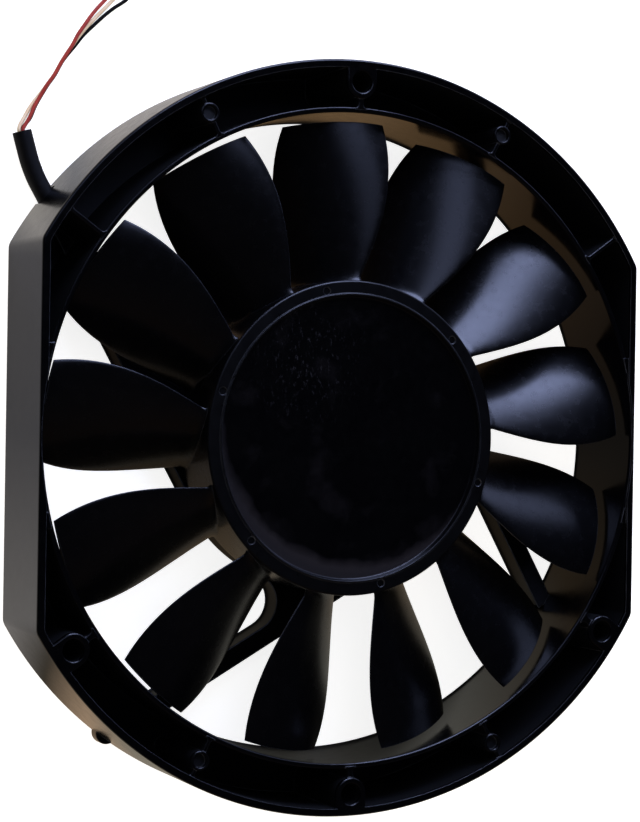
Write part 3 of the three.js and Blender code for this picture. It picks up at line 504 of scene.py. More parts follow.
# To the camera the floor is white, and where the fan shades it a little grey.
def addFloor(look):
    side = look["halfSide"]
    floor = newPiece("floor", [(-side, -side, 0), (side, -side, 0), (side, side, 0), (-side, side, 0)],
                     [[0, 1, 2, 3]])
    material = bpy.data.materials.new("floor_paper")
    tree, path = clearTree(material)
    paper = addNode(tree, "BsdfDiffuse", {"Color": colour(look["colour"])})["BSDF"]
    glow = addNode(tree, "Emission", {"Strength": look["shown"]})["Emission"]
    seen = addNode(tree, "AddShader", {0: paper, 1: glow})["Shader"]
    place = addNode(tree, "TexCoord")["Object"]
    # Painted reflection: what gloss shows of the floor glows by place, tinted along Y.
    along = aroundAxis(tree, place)[0]["Y"]
    tint = mixColours(tree, ringShare(tree, place, outer=look["ductEdge"]),
                      paintedGlowAlong(tree, along, look["around"]), paintedGlowAlong(tree, along, look["within"]))
    # Under the flange the painted reflection is dark: a painted shadow.
    under = ringShare(tree, place, look["ductEdge"], look["underEdge"], look["underFlat"])
    strength = maths(tree, "SUBTRACT", 1.0, under)
    paintedReflection = addNode(tree, "Emission", {"Strength": strength, "Color": tint})["Emission"]
    dark = addNode(tree, "BsdfDiffuse", {"Color": (0, 0, 0, 1)})["BSDF"]
    faint = addNode(tree, "MixShader", {"Fac": look["mirrored"], 1: dark, 2: paper})["Shader"]
    mirrored = addNode(tree, "AddShader", {0: faint, 1: paintedReflection})["Shader"]
    glossy = maths(tree, "MAXIMUM", path["Is Glossy Ray"], path["Is Transmission Ray"])
    mix = addNode(tree, "MixShader", {"Fac": glossy, 1: paper, 2: mirrored})["Shader"]
    mix = addNode(tree, "MixShader", {"Fac": path["Is Camera Ray"], 1: mix, 2: seen})["Shader"]
    addNode(tree, "OutputMaterial", {"Surface": mix})
    floor.data.materials.append(material)


# The room's light on rough surfaces, and the darker room that gloss shows.
worldLook = {"light": 0.42, "tint": "eef1f6", "gloss": 0.006, "glossTint": "c8d2ff", "warmth": 0.07,
             "warmTint": "ffc890"}


def addWorld(look):
    world = bpy.data.worlds.new("studio")
    tree, path = clearTree(world)
    room = addNode(tree, "Background", {"Color": colour(look["tint"]), "Strength": look["light"]})
    way = addNode(tree, "SeparateXYZ", {"Vector": addNode(tree, "TexCoord")["Generated"]})
    near = maths(tree, "MAXIMUM", maths(tree, "MULTIPLY", way["Y"], -1.0), 0.0)
    near = maths(tree, "MULTIPLY", near, near)
    tint = mixColours(tree, near, colour(look["glossTint"]), colour(look["warmTint"]))
    strength = spread(tree, near, 0.0, 1.0, look["gloss"], look["warmth"])
    dark = addNode(tree, "Background", {"Color": tint, "Strength": strength})
    white = addNode(tree, "Background", {"Color": (1, 1, 1, 1), "Strength": 1.0})
    mix = addNode(tree, "MixShader", {"Fac": path["Is Glossy Ray"], 1: room[0], 2: dark[0]})
    mix = addNode(tree, "MixShader", {"Fac": path["Is Camera Ray"], 1: mix[0], 2: white[0]})
    addNode(tree, "OutputWorld", {"Surface": mix[0]})
    scene.world = world


# The soft lamps, all of them facing the fan: place, size, watts, colour, and whether gloss shows them
lamps = {
    "window_lamp": ((126, 595, 350), (455, 400), 5.0, "bdcbff", True),
    "side_lamp": ((441, 397, 181), (370, 250), 0.45, "bdcbff", True),
    "high_lamp": ((-50, 287, 547), (230, 220), 0.24, "bdcbff", True),
    "over_lamp": ((-150, 100, 900), (900, 900), 1.7, "fffdf8", False),
    "low_lamp": ((-420, -520, 260), (500, 300), 2.0, "ffdfba", False),
}


def addLamps(lamps):
    for name, (place, size, watts, tint, shown) in lamps.items():
        data = bpy.data.lights.new(name, "AREA")
        data.shape = "RECTANGLE"
        data.size, data.size_y = (side * millimetre for side in size)
        data.energy = watts
        data.color = colour(tint)[:3]
        piece = bpy.data.objects.new(name, data)
        piece.location = Vector(place) * millimetre
        piece.rotation_euler = (-piece.location).to_track_quat("-Z", "Y").to_euler()
        piece.visible_glossy = shown
        scene.collection.objects.link(piece)


addFloor(floorLook)
addWorld(worldLook)
addLamps(lamps)
print("floor and lamps placed")

# Finishes

# Tones are dark, light and, on plain plastic, soiled. Grain and wave give a size and a depth.
# The pale bluish edge tone is partly wear and partly a painted highlight.
blackPlastic = {
    "tones": ("010102", "020203"), "patch": 9, "wornAndHighlitEdge": "4a4e58", "edgeWearAndHighlight": 0.8, "edge": 0.25,
    "rubPatch": 3, "rubCut": (0.3, 0.6), "rubLeast": 0.35, "speck": 0.45, "speckCut": (0.72, 0.78),
    "dust": 0.15, "dustColour": "2c2a28", "streak": 2.25, "gloss": (0.14, 0.22), "grain": (0.28, 0.004),
    "wave": (9, 0.02),
}
# The trough and the struts are dull.
frameFinish = mouldedPlastic("frame_black_plastic", {**blackPlastic, "dull": [
    (0.55, {"inner": 74.9, "outer": 85.4, "flat": 74.4, "high": 24.6}),
    (0.6, {"outer": 73.6, "flat": 74, "high": 6.2})]})
hubLook = {
    "face": {"outer": 32.2, "low": 22}, "faceGloss": -0.08,
    "band": {"inner": 32.2, "outer": 36.5, "low": 22}, "bandGloss": 0.04,
    "flecks": {"at": (-12, 18), "start": 5.1, "end": 22.1, "uneven": 12, "patch": 9, "detail": 2.0,
               "size": 0.8, "rough": 0.8, "cut": (0.58, 0.66), "stretch": (1.0, 0.5, 1.0), "turn": 0.5,
               "share": 0.4, "colour": "3c3c44"},
    "scuff": {"at": (2, 6), "start": 35, "end": 37.5, "uneven": 3, "patch": 5, "detail": 4.0,
              "share": 0.75},
    "smear": {"patch": 12, "cut": (0.55, 0.75), "share": 0.2, "colour": "242226"},
}
bladeFinish = mouldedPlastic("impeller_black_plastic", {
    **blackPlastic, "gloss": (0.23, 0.29), "wave": (14, 0.015), "dust": 0.015, "hub": hubLook})

steelFinish = plainMetal("plain_steel", {
    "tones": ("8d8f92", "a5a7aa"), "patch": 3, "grain": (0.35, 0.008), "gloss": (0.28, 0.45), "edge": 0.12})
bearingFinish = plainMetal("bearing_steel", {
    "tones": ("c0c2c4", "d0d2d4"), "patch": 2, "grain": (0.08, 0.002), "gloss": (0.1, 0.2), "edge": 0.15,
    "turned": True})
brassFinish = plainMetal("turned_brass", {
    "tones": ("a17f3e", "bb9853"), "patch": 2, "grain": (0.1, 0.003), "gloss": (0.2, 0.34), "edge": 0.15,
    "turned": True})
canFinish = plainMetal("can_aluminium", {
    "tones": ("b4b6b8", "c6c8ca"), "patch": 1.5, "grain": (0.1, 0.002), "gloss": (0.22, 0.32), "edge": 0.2})


# Round wire laid side by side, with a varnish over it, and painted shade in the valleys between the wires.
def windingFinish(name, look):
    material, tree, shader, place = newMaterial(name)
    phase = maths(tree, "MULTIPLY", aroundAxis(tree, place)[2], pi / (look["wire"] * millimetre))
    strand = maths(tree, "ABSOLUTE", maths(tree, "SINE", phase))
    shade = mixColours(tree, blotches(tree, place, look["patch"]), *[colour(tone) for tone in look["tones"]])
    # Painted shade: darker in the valleys between the wires.
    gap = spread(tree, strand, 0.0, look["creaseShadeReach"], look["creaseShadeShare"], 0.0)
    gloss = patches(tree, place, look["streak"], usual, *look["gloss"])
    height = maths(tree, "MULTIPLY", strand, look["wire"] / 3)
    feed(tree, shader, {"Base Color": mixColours(tree, gap, shade, colour(look["gap"])), "Roughness": gloss,
                        "Metallic": look["metal"], "Normal": bumpNormal(tree, height)})
    return material


# The gap tone is the painted shade between the wires.
copperFinish = windingFinish("winding_copper", {
    "wire": 0.35, "tones": ("a4552f", "c2703f"), "patch": 1.2, "gap": "3d1a0c", "creaseShadeReach": 0.45,
    "creaseShadeShare": 0.7, "metal": 0.85, "streak": 0.5, "gloss": (0.25, 0.4)})


# Other plastic and resin: one tone with faint blotches, a moulded skin, and a thin shine.
def tintedPlastic(name, look):
    material, tree, shader, place = newMaterial(name)
    soilSize, glossSize = look["patch"] / 3, look["patch"] / 2
    soil = patches(tree, place, soilSize, soiled, 0.0, look["soil"], detail=5.0)
    shade = mixColours(tree, soil, twoTones(tree, place, look, usual), colour(look["tones"][2]))
    gloss = patches(tree, place, glossSize, usual, *look["gloss"])
    height = maths(tree, "MULTIPLY", blotches(tree, place, look["grain"][0]), look["grain"][1])
    normal = bumpNormal(tree, height, look["edge"])
    feed(tree, shader, {"Base Color": shade, "Roughness": gloss, "Normal": normal,
                        "Specular IOR Level": look.get("shine", 0.5)})
    if "glow" in look:
        feed(tree, shader, {"Subsurface Weight": look["glow"], "Subsurface Radius": look["glowReach"],
                            "Subsurface Scale": millimetre})
    return material


nylonFinish = tintedPlastic("former_nylon", {
    "tones": ("cfc6a4", "ddd5b8", "8d8262"), "patch": 4, "soil": 0.2, "gloss": (0.4, 0.55),
    "grain": (0.2, 0.01), "edge": 0.15, "glow": 0.1, "glowReach": (0.8, 0.6, 0.4)})
leadSkin = {"patch": 3, "soil": 0.3, "grain": (0.15, 0.006), "edge": 0}
redFinish = tintedPlastic("lead_red", {
    **leadSkin, "tones": ("962a22", "aa3a2e", "4a1b19"), "soil": 0.35, "gloss": (0.42, 0.55), "shine": 0.25})
blackLeadFinish = tintedPlastic("lead_black", {
    **leadSkin, "tones": ("070606", "0d0c0c", "1b1816"), "gloss": (0.45, 0.6), "shine": 0.1})
yellowFinish = tintedPlastic("lead_yellow", {
    **leadSkin, "tones": ("e6c69c", "f0d8b4", "b08d5c"), "gloss": (0.38, 0.5)})
tubeFinish = tintedPlastic("sleeve_tube", {
    "tones": ("040405", "080809", "1c1c20"), "patch": 4, "soil": 0.4, "gloss": (0.5, 0.6),
    "grain": (0.22, 0.02), "edge": 0.15, "shine": 0.2})
strapFinish = tintedPlastic("tie_strap", {
    "tones": ("08080a", "0e0e11", "1c1c20"), "patch": 2, "soil": 0.2, "gloss": (0.35, 0.45),
    "grain": (0.2, 0.01), "edge": 0.1})
magnetFinish = tintedPlastic("magnet_compound", {
    "tones": ("2e2826", "3c3532", "1f1b1a"), "patch": 2, "soil": 0.4, "gloss": (0.6, 0.8),
    "grain": (0.12, 0.03), "edge": 0.2})
chipFinish = tintedPlastic("chip_resin", {
    "tones": ("17171a", "1f1f22", "323236"), "patch": 1, "soil": 0.3, "gloss": (0.5, 0.65),
    "grain": (0.06, 0.01), "edge": 0.12})
boardFinish = tintedPlastic("board_laminate", {
    "tones": ("16482d", "205d3b", "2f7a50"), "patch": 2.5, "soil": 0.5, "gloss": (0.3, 0.45),
    "grain": (0.3, 0.03), "edge": 0.1})

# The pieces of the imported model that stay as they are, each with its finish
carried = {
    bearingFinish: ["rotor_shaft", "front_bearing_outer", "front_bearing_inner", "rear_bearing_outer",
                    "rear_bearing_inner"],
    steelFinish: ["rotor_yoke", "stator_core", "retaining_clip", "preload_spring"],
    brassFinish: ["bearing_tube", "shaft_bush", "front_ball_cage", "rear_ball_cage"],
    magnetFinish: ["ring_magnet"],
    copperFinish: ["coil_1", "coil_2", "coil_3", "coil_4"],
    nylonFinish: ["upper_insulator", "lower_insulator", "lead_connector"],
    boardFinish: ["circuit_board"],
    chipFinish: ["driver_chip", "hall_sensor", "guard_diode"],
    canFinish: ["filter_capacitor"],
    frameFinish: ["bearing_cap"],
}
for finish, names in carried.items():
    for name in names:
        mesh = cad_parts[name].data
        mesh.materials.clear()
        mesh.materials.append(finish)
print("finishes made")

# Leads: the sleeve, and three leads that lie on the floor, are wound up and end in the connector

leadLook = {
    "diameter": 0.85, "gap": 0.1, "length": 300, "names": ("red", "black", "yellow"),
    "sleeveWall": 1.02, "sleeveSlack": 0.2, "sleeveInside": 8, "sleeveSkin": 0.03, "floorGap": 0.1,
    "coilTurns": 6.6, "coilSpace": (39.53, 51.47),  # from the sleeve's mouth, in lead spacings
    "boardHeight": 3.9, "boardGap": 0.3, "boardReach": 12,
}
bundleShares = [(0.35, 0.94), (0.64, -0.77), (-0.98, -0.17)]  # right and up, in bundle radii
# From the rim, in sleeve diameters
sleeveRoute = [(-0.46, 0.8), (-0.8, 1.59), (-1.03, 2.35), (-1.26, 3.16)]
# From the sleeve's mouth, in lead spacings, with the height in lead diameters
freeRoutes = [
    [(0.5, 1.2, 3.2), (1.69, 3.2, 2.95), (3.15, 6.38, 2.65), (4.96, 9.59, 2.53), (6.17, 11.57, 2.52),
     (7.73, 13.81, 2.52), (9.78, 17.53, 2.52), (12.15, 21.31, 2.5), (13.5, 23.86, 2.35),
     (15.3, 26.47, 2), (17.2, 29.08, 1.45), (18.75, 30.91, 0.95), (20.7, 33.01, 0.56),
     (24.31, 37.38, 1.08), (27.68, 41.16, 2), (30, 43.47, 2.67), (30.52, 47, 2.71)],
    [(0.75, 1.35, 1.75), (2.4, 3.37, 1.05), (3.85, 6.58, 0.6), (5.66, 9.79, 0.5), (6.86, 11.77, 0.5),
     (8.43, 14.02, 0.5), (10.47, 17.74, 0.5), (13.49, 21.63, 0.5), (15.44, 24.18, 0.5),
     (18.03, 26.8, 0.5), (20.75, 29.43, 0.5), (23, 31.32, 0.5), (26.01, 33.52, 0.5),
     (28.42, 36.33, 0.52), (29.9, 39.69, 0.52), (30.52, 43.06, 0.52), (30.52, 47, 0.52)],
    [(-0.5, 1.1, 2.4), (0.7, 3.3, 1.9), (2.6, 6.5, 1.55), (5, 9.7, 1.5), (6.44, 11.7, 1.5),
     (8.01, 13.95, 1.5), (10.06, 17.67, 1.5), (12.5, 21.45, 1.45), (14.35, 24.03, 1.25),
     (16.55, 26.64, 0.9), (18.99, 29.27, 0.6), (20.73, 31.1, 0.52), (22.71, 33.21, 0.52),
     (26.63, 36.95, 0.75), (29.05, 40.53, 1.33), (30.42, 43.47, 1.61), (30.52, 47, 1.61)],
]

channel = {"direction": 119.4, "baseRadius": 35.5, "wall": 0.65, "gap": 0.3}
spacing = leadLook["diameter"] + leadLook["gap"]
bundleRadius = spacing / sqrt(3)
sleeveBore = 2 * (bundleRadius + leadLook["diameter"] / 2 + leadLook["sleeveSlack"])
sleeveDiameter = sleeveBore + 2 * leadLook["sleeveWall"]
wireStrutWidth = sleeveDiameter + channel["gap"] + 2 * channel["wall"]
channelLine = channel["baseRadius"] - wireStrutWidth / 2
bundleHeight = sleeveDiameter / 2 + leadLook["floorGap"]
alongWay = Vector((cos(radians(channel["direction"])), sin(radians(channel["direction"])), 0))
outWay = Vector((-alongWay.y, alongWay.x, 0))
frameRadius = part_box("fan_frame")[1][1] / millimetre
channelEnd = sqrt(frameRadius ** 2 - channelLine ** 2)


def channelPoint(along, across, height):
    return outWay * (channelLine + across) + alongWay * along + Vector((0, 0, height))


def sleevePath():
    points = [channelPoint(channelEnd - back * leadLook["sleeveInside"], 0, bundleHeight)
              for back in (1, 0.5, 0)]
    points += [points[2] + Vector((x, y, 0)) * sleeveDiameter for x, y in sleeveRoute]
    return smoothPath(points, spacing=0.4)


sleeveLine = sleevePath()
mouth = sleeveLine[-1]
mouthWay = (sleeveLine[-1] - sleeveLine[-2]).normalized()
mouthSide = Vector((mouthWay.y, -mouthWay.x, 0))
sleeve = tubePiece("dressed_sleeve", sleeveLine, sleeveDiameter / 2 - leadLook["sleeveSkin"],
                   sleeveBore / 2)
finishPiece(sleeve, tubeFinish, "root", ["lead_sleeve"])


def bundlePoint(centre, side, k):
    across, up = bundleShares[k]
    return centre + side * (across * bundleRadius) + Vector((0, 0, up * bundleRadius))


# From the board's pads to the channel: along in reaches, and how wide the three lanes lie and how far
# across, both in lead spacings
boardRoute = [(-0.7, 1.26, -5.26), (-0.3, 1.26, -5.26), (0.12, 1.2, -2.98), (0.44, 1, -0.71)]
channelShares = (0.15, 0.2, 0.35, 0.6, 0.85, 1)
sleeveShares = (0.2, 0.4, 0.55, 0.7, 0.85, 1)


def innerLeadPath(k):
    lane, radius, reach = (-1, 0, 1)[k], leadLook["diameter"] / 2, leadLook["boardReach"]
    height = leadLook["boardHeight"] - radius - leadLook["boardGap"]
    points = [channelPoint(along * reach, (width * lane + across) * spacing, height)
              for along, width, across in boardRoute]
    if lane == 0:
        points[-1].z -= radius
    start = channelEnd - leadLook["sleeveInside"]
    points += [bundlePoint(channelPoint(start * share, 0, bundleHeight), -outWay, k)
               for share in channelShares]
    for share in sleeveShares:
        at = min(int(share * (len(sleeveLine) - 1)), len(sleeveLine) - 2)
        way = (sleeveLine[at + 1] - sleeveLine[at]).normalized()
        points.append(bundlePoint(sleeveLine[at], Vector((way.y, -way.x, 0)), k))
    return smoothPath(points)


# A lead leaves the sleeve and lies on the floor, is wound inwards in its own layer, turns in the bore
# of the coil, and crosses over the turns to its hole in the connector.
coilLook = {
    "bore": 6 * spacing, "turns": 6, "pitch": 0.88, "outer": 8.55, "lineUp": 3, "turnSteps": 72,
    "leaveTurns": (35, 22, 8), "bend": 1.84,  # where each lead leaves the last turn, degrees; bend radius
    "bendSteps": 24, "swingSteps": 12, "laneGap": 0.06, "riseRoom": 0.4, "riseLeast": 0.5,
    "tieTurn": 90, "tieLift": 0.42, "tieSpread": 3, "over": 4.03,
    # How far past the bore, before and past the rim, and before the connector the lead keeps its height
    "boreRoom": 2.5, "rimRoom": 2, "pastRim": 1, "sag": 0.3, "nearPlug": 2.4, "plugDrop": 0.5,
    "connectorGap": 6.4, "connectorMiddle": 2.8, "crimpGap": 0.3, "crimpReach": 3, "pitchPins": 2.54,
    "mouthBack": 0.8, "mouthPast": 0.3,
}
coilPlace = Vector([mouth[i] + leadLook["coilSpace"][i] * spacing for i in (0, 1)] + [0])
coilRadius = coilLook["bore"] / 2 + leadLook["coilTurns"] * spacing
boreEnd = coilPlace.x + coilLook["bore"] / 2
connectorStart = coilPlace.x + coilRadius + coilLook["connectorGap"]


def tieLift(angle):
    away = abs((angle - radians(coilLook["tieTurn"]) + pi) % fullTurn - pi)
    return coilLook["tieLift"] * cos(min(away * coilLook["tieSpread"], pi / 2)) ** 2


# In the bore: right by one arc, left by another, and straight on into a lane, seen from above.
def borePlan(start, way, near):
    coil, bend, heading = coilLook, coilLook["bend"], atan2(way.y, way.x)
    centre = start + Vector((sin(heading), -cos(heading), 0)) * bend
    swing = acos((near + bend - centre.y) / (2 * bend))
    second = (centre.x + 2 * bend * sin(swing), centre.y + 2 * bend * cos(swing))
    plan = arcPoints(centre, bend, heading + pi / 2, pi / 2 - swing, coil["bendSteps"])
    plan += arcPoints(second, bend, -pi / 2 - swing, -pi / 2, coil["swingSteps"])[1:]
    return plan + [(max(plan[-1][0] + coil["riseLeast"], boreEnd - coil["riseRoom"]), near)]


def freeLeadPath(k):
    coil, lane = coilLook, (-1, 0, 1)[k]
    start = bundlePoint(mouth, mouthSide, k)
    points = [start - mouthWay * coil["mouthBack"], start + mouthWay * coil["mouthPast"]]
    points += [Vector((mouth.x + x * spacing, mouth.y + y * spacing, layer * leadLook["diameter"]))
               for x, y, layer in freeRoutes[k]]
    layer = points[-1].z
    points.append(Vector((coilPlace.x - coil["outer"], coilPlace.y - coil["lineUp"], layer)))
    path = smoothPath(points)
    wound = coil["turns"] - coil["leaveTurns"][k] / 360
    steps = ceil(wound * coil["turnSteps"])
    for s in range(steps + 1):
        turned = wound * s / steps
        radius, angle = coil["outer"] - turned * coil["pitch"], pi - turned * fullTurn
        path.append(coilPlace + Vector((radius * cos(angle), radius * sin(angle), layer + tieLift(angle))))
    # It rises all the way through the bore.
    near = coilPlace.y + lane * (spacing + coil["laneGap"])
    plan = borePlan(path[-1], path[-1] - path[-2], near)
    lengths = [0]
    for (ax, ay), (bx, by) in zip(plan, plan[1:]):
        lengths.append(lengths[-1] + hypot(bx - ax, by - ay))
    for (x, y), along in list(zip(plan, lengths))[1:]:
        share = along / lengths[-1]
        path.append(Vector((x, y, layer + (coil["over"] - layer) * share ** 2 * (3 - 2 * share))))
    # Over the turns and down into the connector.
    far = coilPlace.y + lane * coil["pitchPins"]
    over, middle, rim = coil["over"], coil["connectorMiddle"], coilPlace.x + coilRadius
    tail = [(boreEnd + coil["boreRoom"], near, over), (rim - coil["rimRoom"], near, over),
            (rim + coil["pastRim"], (2 * near + far) / 3, over - coil["sag"]),
            (connectorStart - coil["nearPlug"], far, middle + coil["plugDrop"]),
            (connectorStart - coil["crimpGap"], far, middle),
            (connectorStart + coil["crimpReach"], far, middle)]
    return path + smoothPath([path[-1]] + [Vector(point) for point in tail])[1:]


# The strap that holds the coil: a flat band bent into a closed loop.
tieLook = {"thickness": 0.35, "corner": 0.7, "edge": 0.12}


def tiePiece():
    low, high = [Vector(corner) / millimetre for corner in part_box("lead_tie")]
    half, wide = tieLook["thickness"] / 2, (high.x - low.x) / 2
    inset = Vector((0, half, half))
    loop = roundCorners(rectangle((low + inset).yz, (high - inset).yz, tieLook["corner"]), steps=6)
    section = roundCorners(rectangle((-wide, -half), (wide, half), tieLook["edge"]), steps=3)
    points = []
    for i, (y, z) in enumerate(loop):
        ahead, back = loop[(i + 1) % len(loop)], loop[i - 1]
        out = Vector((ahead[1] - back[1], back[0] - ahead[0])).normalized()
        points += [(low.x + wide + x, y + out.x * t, z + out.y * t) for x, t in section]
    return newPiece("dressed_tie", points, skinFaces(len(loop), len(section), True))


tie = tiePiece()
finishPiece(tie, strapFinish, "root", ["lead_tie"])

for k, name in enumerate(leadLook["names"]):
    finish = (redFinish, blackLeadFinish, yellowFinish)[k]
    inner = wirePiece(f"dressed_{name}_inner_lead", innerLeadPath(k), leadLook["diameter"])
    finishPiece(inner, finish, "root", [f"{name}_inner_lead"])
    path = freeLeadPath(k)
    lead = wirePiece(f"dressed_{name}_lead", path, leadLook["diameter"])
    finishPiece(lead, finish, "root", [f"{name}_lead", f"{name}_tail", "lead_coil"])
    print(name, "lead:", round(sum((b - a).length for a, b in zip(path, path[1:]))), "mm")
print("leads laid")

# Frame: a round duct in a flat-sided rim, with the screw bosses and ribs between the two

frameShape = {
    "overrun": 1, "sunk": 1, "ductFoot": 0.5, "ledge": 0.02,  # past a cut, and where joined pieces start
    "rimWall": 1.8, "rimRound": 0.5, "flange": 2.4, "cornerRound": 0.9, "troughCorner": 0.5,
    "ductInset": 12, "ductWall": 1.2, "lipDrop": 0.6, "lipRound": 0.5, "lipEdge": 0.25,
    "mouth": [(1.5, -1), (0.5, 0), (0.15, 0.15), (0, 0.5)],  # outwards from the duct, height
    "rib": 0.9, "ribDrop": 0.5, "ribFlare": 0.7, "ribRound": 0.2, "ribOverlap": 0.5, "bossRib": 1.35,
    "bossOverlap": 0.2, "ribTurns": (35.3, 144.7), "endBlock": 3.6,
    "screwInset": 5, "screwHole": 4.8, "screwWall": 1.4, "screwTurns": (90, -90, -145.4, -34.6),
    "bossRound": 0.5, "holeRound": 0.4, "holeLap": 0.002,
    "pinInset": 5.6, "pin": 4.5, "pinDrop": 0.3, "pinTurns": (62.6, 117.4, -62.6, -117.4),
    "pinEdge": 0.3, "pinWall": 0.75, "pinHollow": 0.7, "pinRound": 0.3,
    "lugProud": 1.4, "lug": 2.6, "lugHeight": 3.2, "lugTurn": -127, "lugRound": 0.4,
    "baseRadius": channel["baseRadius"], "baseHeight": 6.5, "baseWall": 1.5, "basePlate": 1.8,
    "baseClear": 8, "baseRounds": (0.9, 0.3, 0.3, 0.6), "collar": 8, "collarRound": 0.25, "seatRadius": 6.5,
    "struts": 4, "strutTurn": channel["direction"] - 180, "strutWidth": 3.4, "strutFillet": 7,
    "strutRound": 0.5, "wireStrut": 2, "channelPast": 3,
    "post": 4, "posts": 3, "postTurn": 20, "postHeight": leadLook["boardHeight"], "postRound": 0.2,
    "ductSteps": 360, "cupSteps": 180, "roomSteps": 144, "collarSteps": 96,
}
halfFlat, _, frameDepth = [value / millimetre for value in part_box("fan_frame")[1]]
ductRadius = frameRadius - frameShape["ductInset"]
ductOuter = ductRadius + frameShape["ductWall"]
screwCircle, pinCircle = frameRadius - frameShape["screwInset"], frameRadius - frameShape["pinInset"]
ribTop, pinTop = frameDepth - frameShape["ribDrop"], frameDepth - frameShape["pinDrop"]


# Points on a bend round a corner, without its start and end.
def bendPoints(start, corner, end, steps=5):
    return [tuple(a * (1 - t) ** 2 + 2 * b * t * (1 - t) + c * t * t for a, b, c in zip(start, corner, end))
            for t in [s / steps for s in range(1, steps)]]


# A circle with two flats, anticlockwise, its four corners a little rounded.
def flatSidedOutline(radius, flat, cornerRound, steps=110):
    half = pi / 2 - acos(flat / radius) - cornerRound / radius
    outline = []
    for middle, sign in ((pi / 2, 1), (3 * pi / 2, -1)):
        arc = arcPoints((0, 0), radius, middle - half, middle + half, steps)
        x, y = -sign * flat, sign * sqrt(radius ** 2 - flat ** 2)
        first, last = (x, y - sign * cornerRound), (x, -y + sign * cornerRound)
        outline += arc + bendPoints(arc[-1], (x, y), first) + [first, last]
        outline += bendPoints(last, (x, -y), (-arc[0][0], -arc[0][1]))
    return outline


def rimOutline(inset, cornerRound):
    return flatSidedOutline(frameRadius - inset, halfFlat - inset, cornerRound)


# A rib between two walls, a little wider where it meets them.
def radialBar(start, end, width, degrees, steps=4):
    shape = frameShape
    flare, overlap = shape["ribFlare"], shape["ribOverlap"]
    wide = width / 2 + flare
    side = [(start - overlap, wide)] + arcPoints((start + flare, wide), flare, pi, 1.5 * pi, steps)
    side += arcPoints((end - flare, wide), flare, -pi / 2, 0, steps) + [(end + overlap, wide)]
    outline = [(x, -y) for x, y in side] + side[::-1]
    return platePiece("rib", turnPoints(outline, degrees), shape["sunk"], ribTop, 0, shape["ribRound"])


def placedDisc(radius, bottom, top, distance, degrees, topRound=0.0, count=48):
    angle = radians(degrees)
    centre = (distance * cos(angle), distance * sin(angle))
    return platePiece("disc", circlePoints(radius, count, centre), bottom, top, 0, topRound)


# A hole with its upper edge rounded over.
def holeTools(radius, bottom, top, distance, degrees, edge):
    over, lap = frameShape["overrun"], frameShape["holeLap"]
    return [placedDisc(radius, bottom, top + over, distance, degrees),
            placedDisc(radius, top - over, top + lap, distance, degrees, -edge)]


def screwBoss(degrees, steps=24):
    shape = frameShape
    radius = shape["screwHole"] / 2 + shape["screwWall"]
    outline = arcPoints((screwCircle, 0), radius, pi / 2, 1.5 * pi, steps)
    outline += [(frameRadius + shape["overrun"], -radius), (frameRadius + shape["overrun"], radius)]
    return platePiece("boss", turnPoints(outline, degrees), shape["ductFoot"], frameDepth, 0,
                      shape["bossRound"])


def strutPiece(k, steps=16):
    shape = frameShape
    isWire = k == shape["wireStrut"]
    width = wireStrutWidth if isWire else shape["strutWidth"]
    base, fillet = shape["baseRadius"], shape["strutFillet"]
    inner = base - width
    reach = frameRadius + shape["overrun"] if isWire else ductOuter - shape["ductWall"] / 2
    end = sqrt(reach ** 2 - base ** 2)
    line = inner - fillet
    touch = sqrt((base + fillet) ** 2 - line ** 2)
    turn = atan2(line, touch)
    start = base - shape["overrun"]
    outline = [(0, base), (0, inner), (start * cos(turn), start * sin(turn))]
    outline += arcPoints((touch, line), fillet, turn + pi, pi / 2, steps) + [(end, inner), (end, base)]
    degrees = shape["strutTurn"] + 360 / shape["struts"] * k
    return platePiece("strut", turnPoints(outline[::-1], degrees), shape["ledge"], shape["baseHeight"],
                      shape["strutRound"], shape["strutRound"])


# The blocks where the duct comes through the flat sides, one at each end of them.
def endBlocks():
    shape = frameShape
    inner = halfFlat - shape["rimWall"]
    pinch = sqrt(ductOuter ** 2 - inner ** 2) - shape["rib"]
    blocks = []
    for side, end in ((1, 1), (1, -1), (-1, 1), (-1, -1)):
        xs = sorted((side * (inner - shape["rimWall"]), side * halfFlat))
        ys = sorted((end * pinch, end * (pinch + shape["endBlock"])))
        outline = rectangle((xs[0], ys[0]), (xs[1], ys[1]))
        blocks.append(platePiece("block", outline, shape["sunk"], ribTop, 0, shape["ribRound"]))
    return blocks


# What stands between the rim and the duct: bosses, ribs, pins and blocks.
def troughPieces():
    shape = frameShape
    pieces = [screwBoss(turn) for turn in shape["screwTurns"]]
    pieces += [radialBar(ductOuter, frameRadius - shape["rimWall"], shape["rib"], turn)
               for turn in shape["ribTurns"] + shape["pinTurns"]]
    bossEnd = screwCircle - shape["screwHole"] / 2 - shape["screwWall"]
    pieces += [radialBar(ductOuter, bossEnd + shape["bossOverlap"], shape["bossRib"], turn)
               for turn in shape["screwTurns"]]
    pieces += [placedDisc(shape["pin"] / 2, shape["sunk"], pinTop, pinCircle, turn, shape["pinEdge"])
               for turn in shape["pinTurns"]]
    return pieces + endBlocks()


# The bore of the duct, wider at the rear and rounded at the lip.
def borePiece(steps=5):
    shape = frameShape
    lip, edge, over = frameDepth - shape["lipDrop"], shape["lipRound"], shape["overrun"]
    profile = [(0, -over)] + [(ductRadius + out, height) for out, height in shape["mouth"]]
    profile += arcPoints((ductRadius + edge, lip - edge), edge, pi, pi / 2, steps)
    profile += [(ductRadius + edge, frameDepth + over), (0, frameDepth + over)]
    return turnedPiece("bore", profile, shape["ductSteps"])


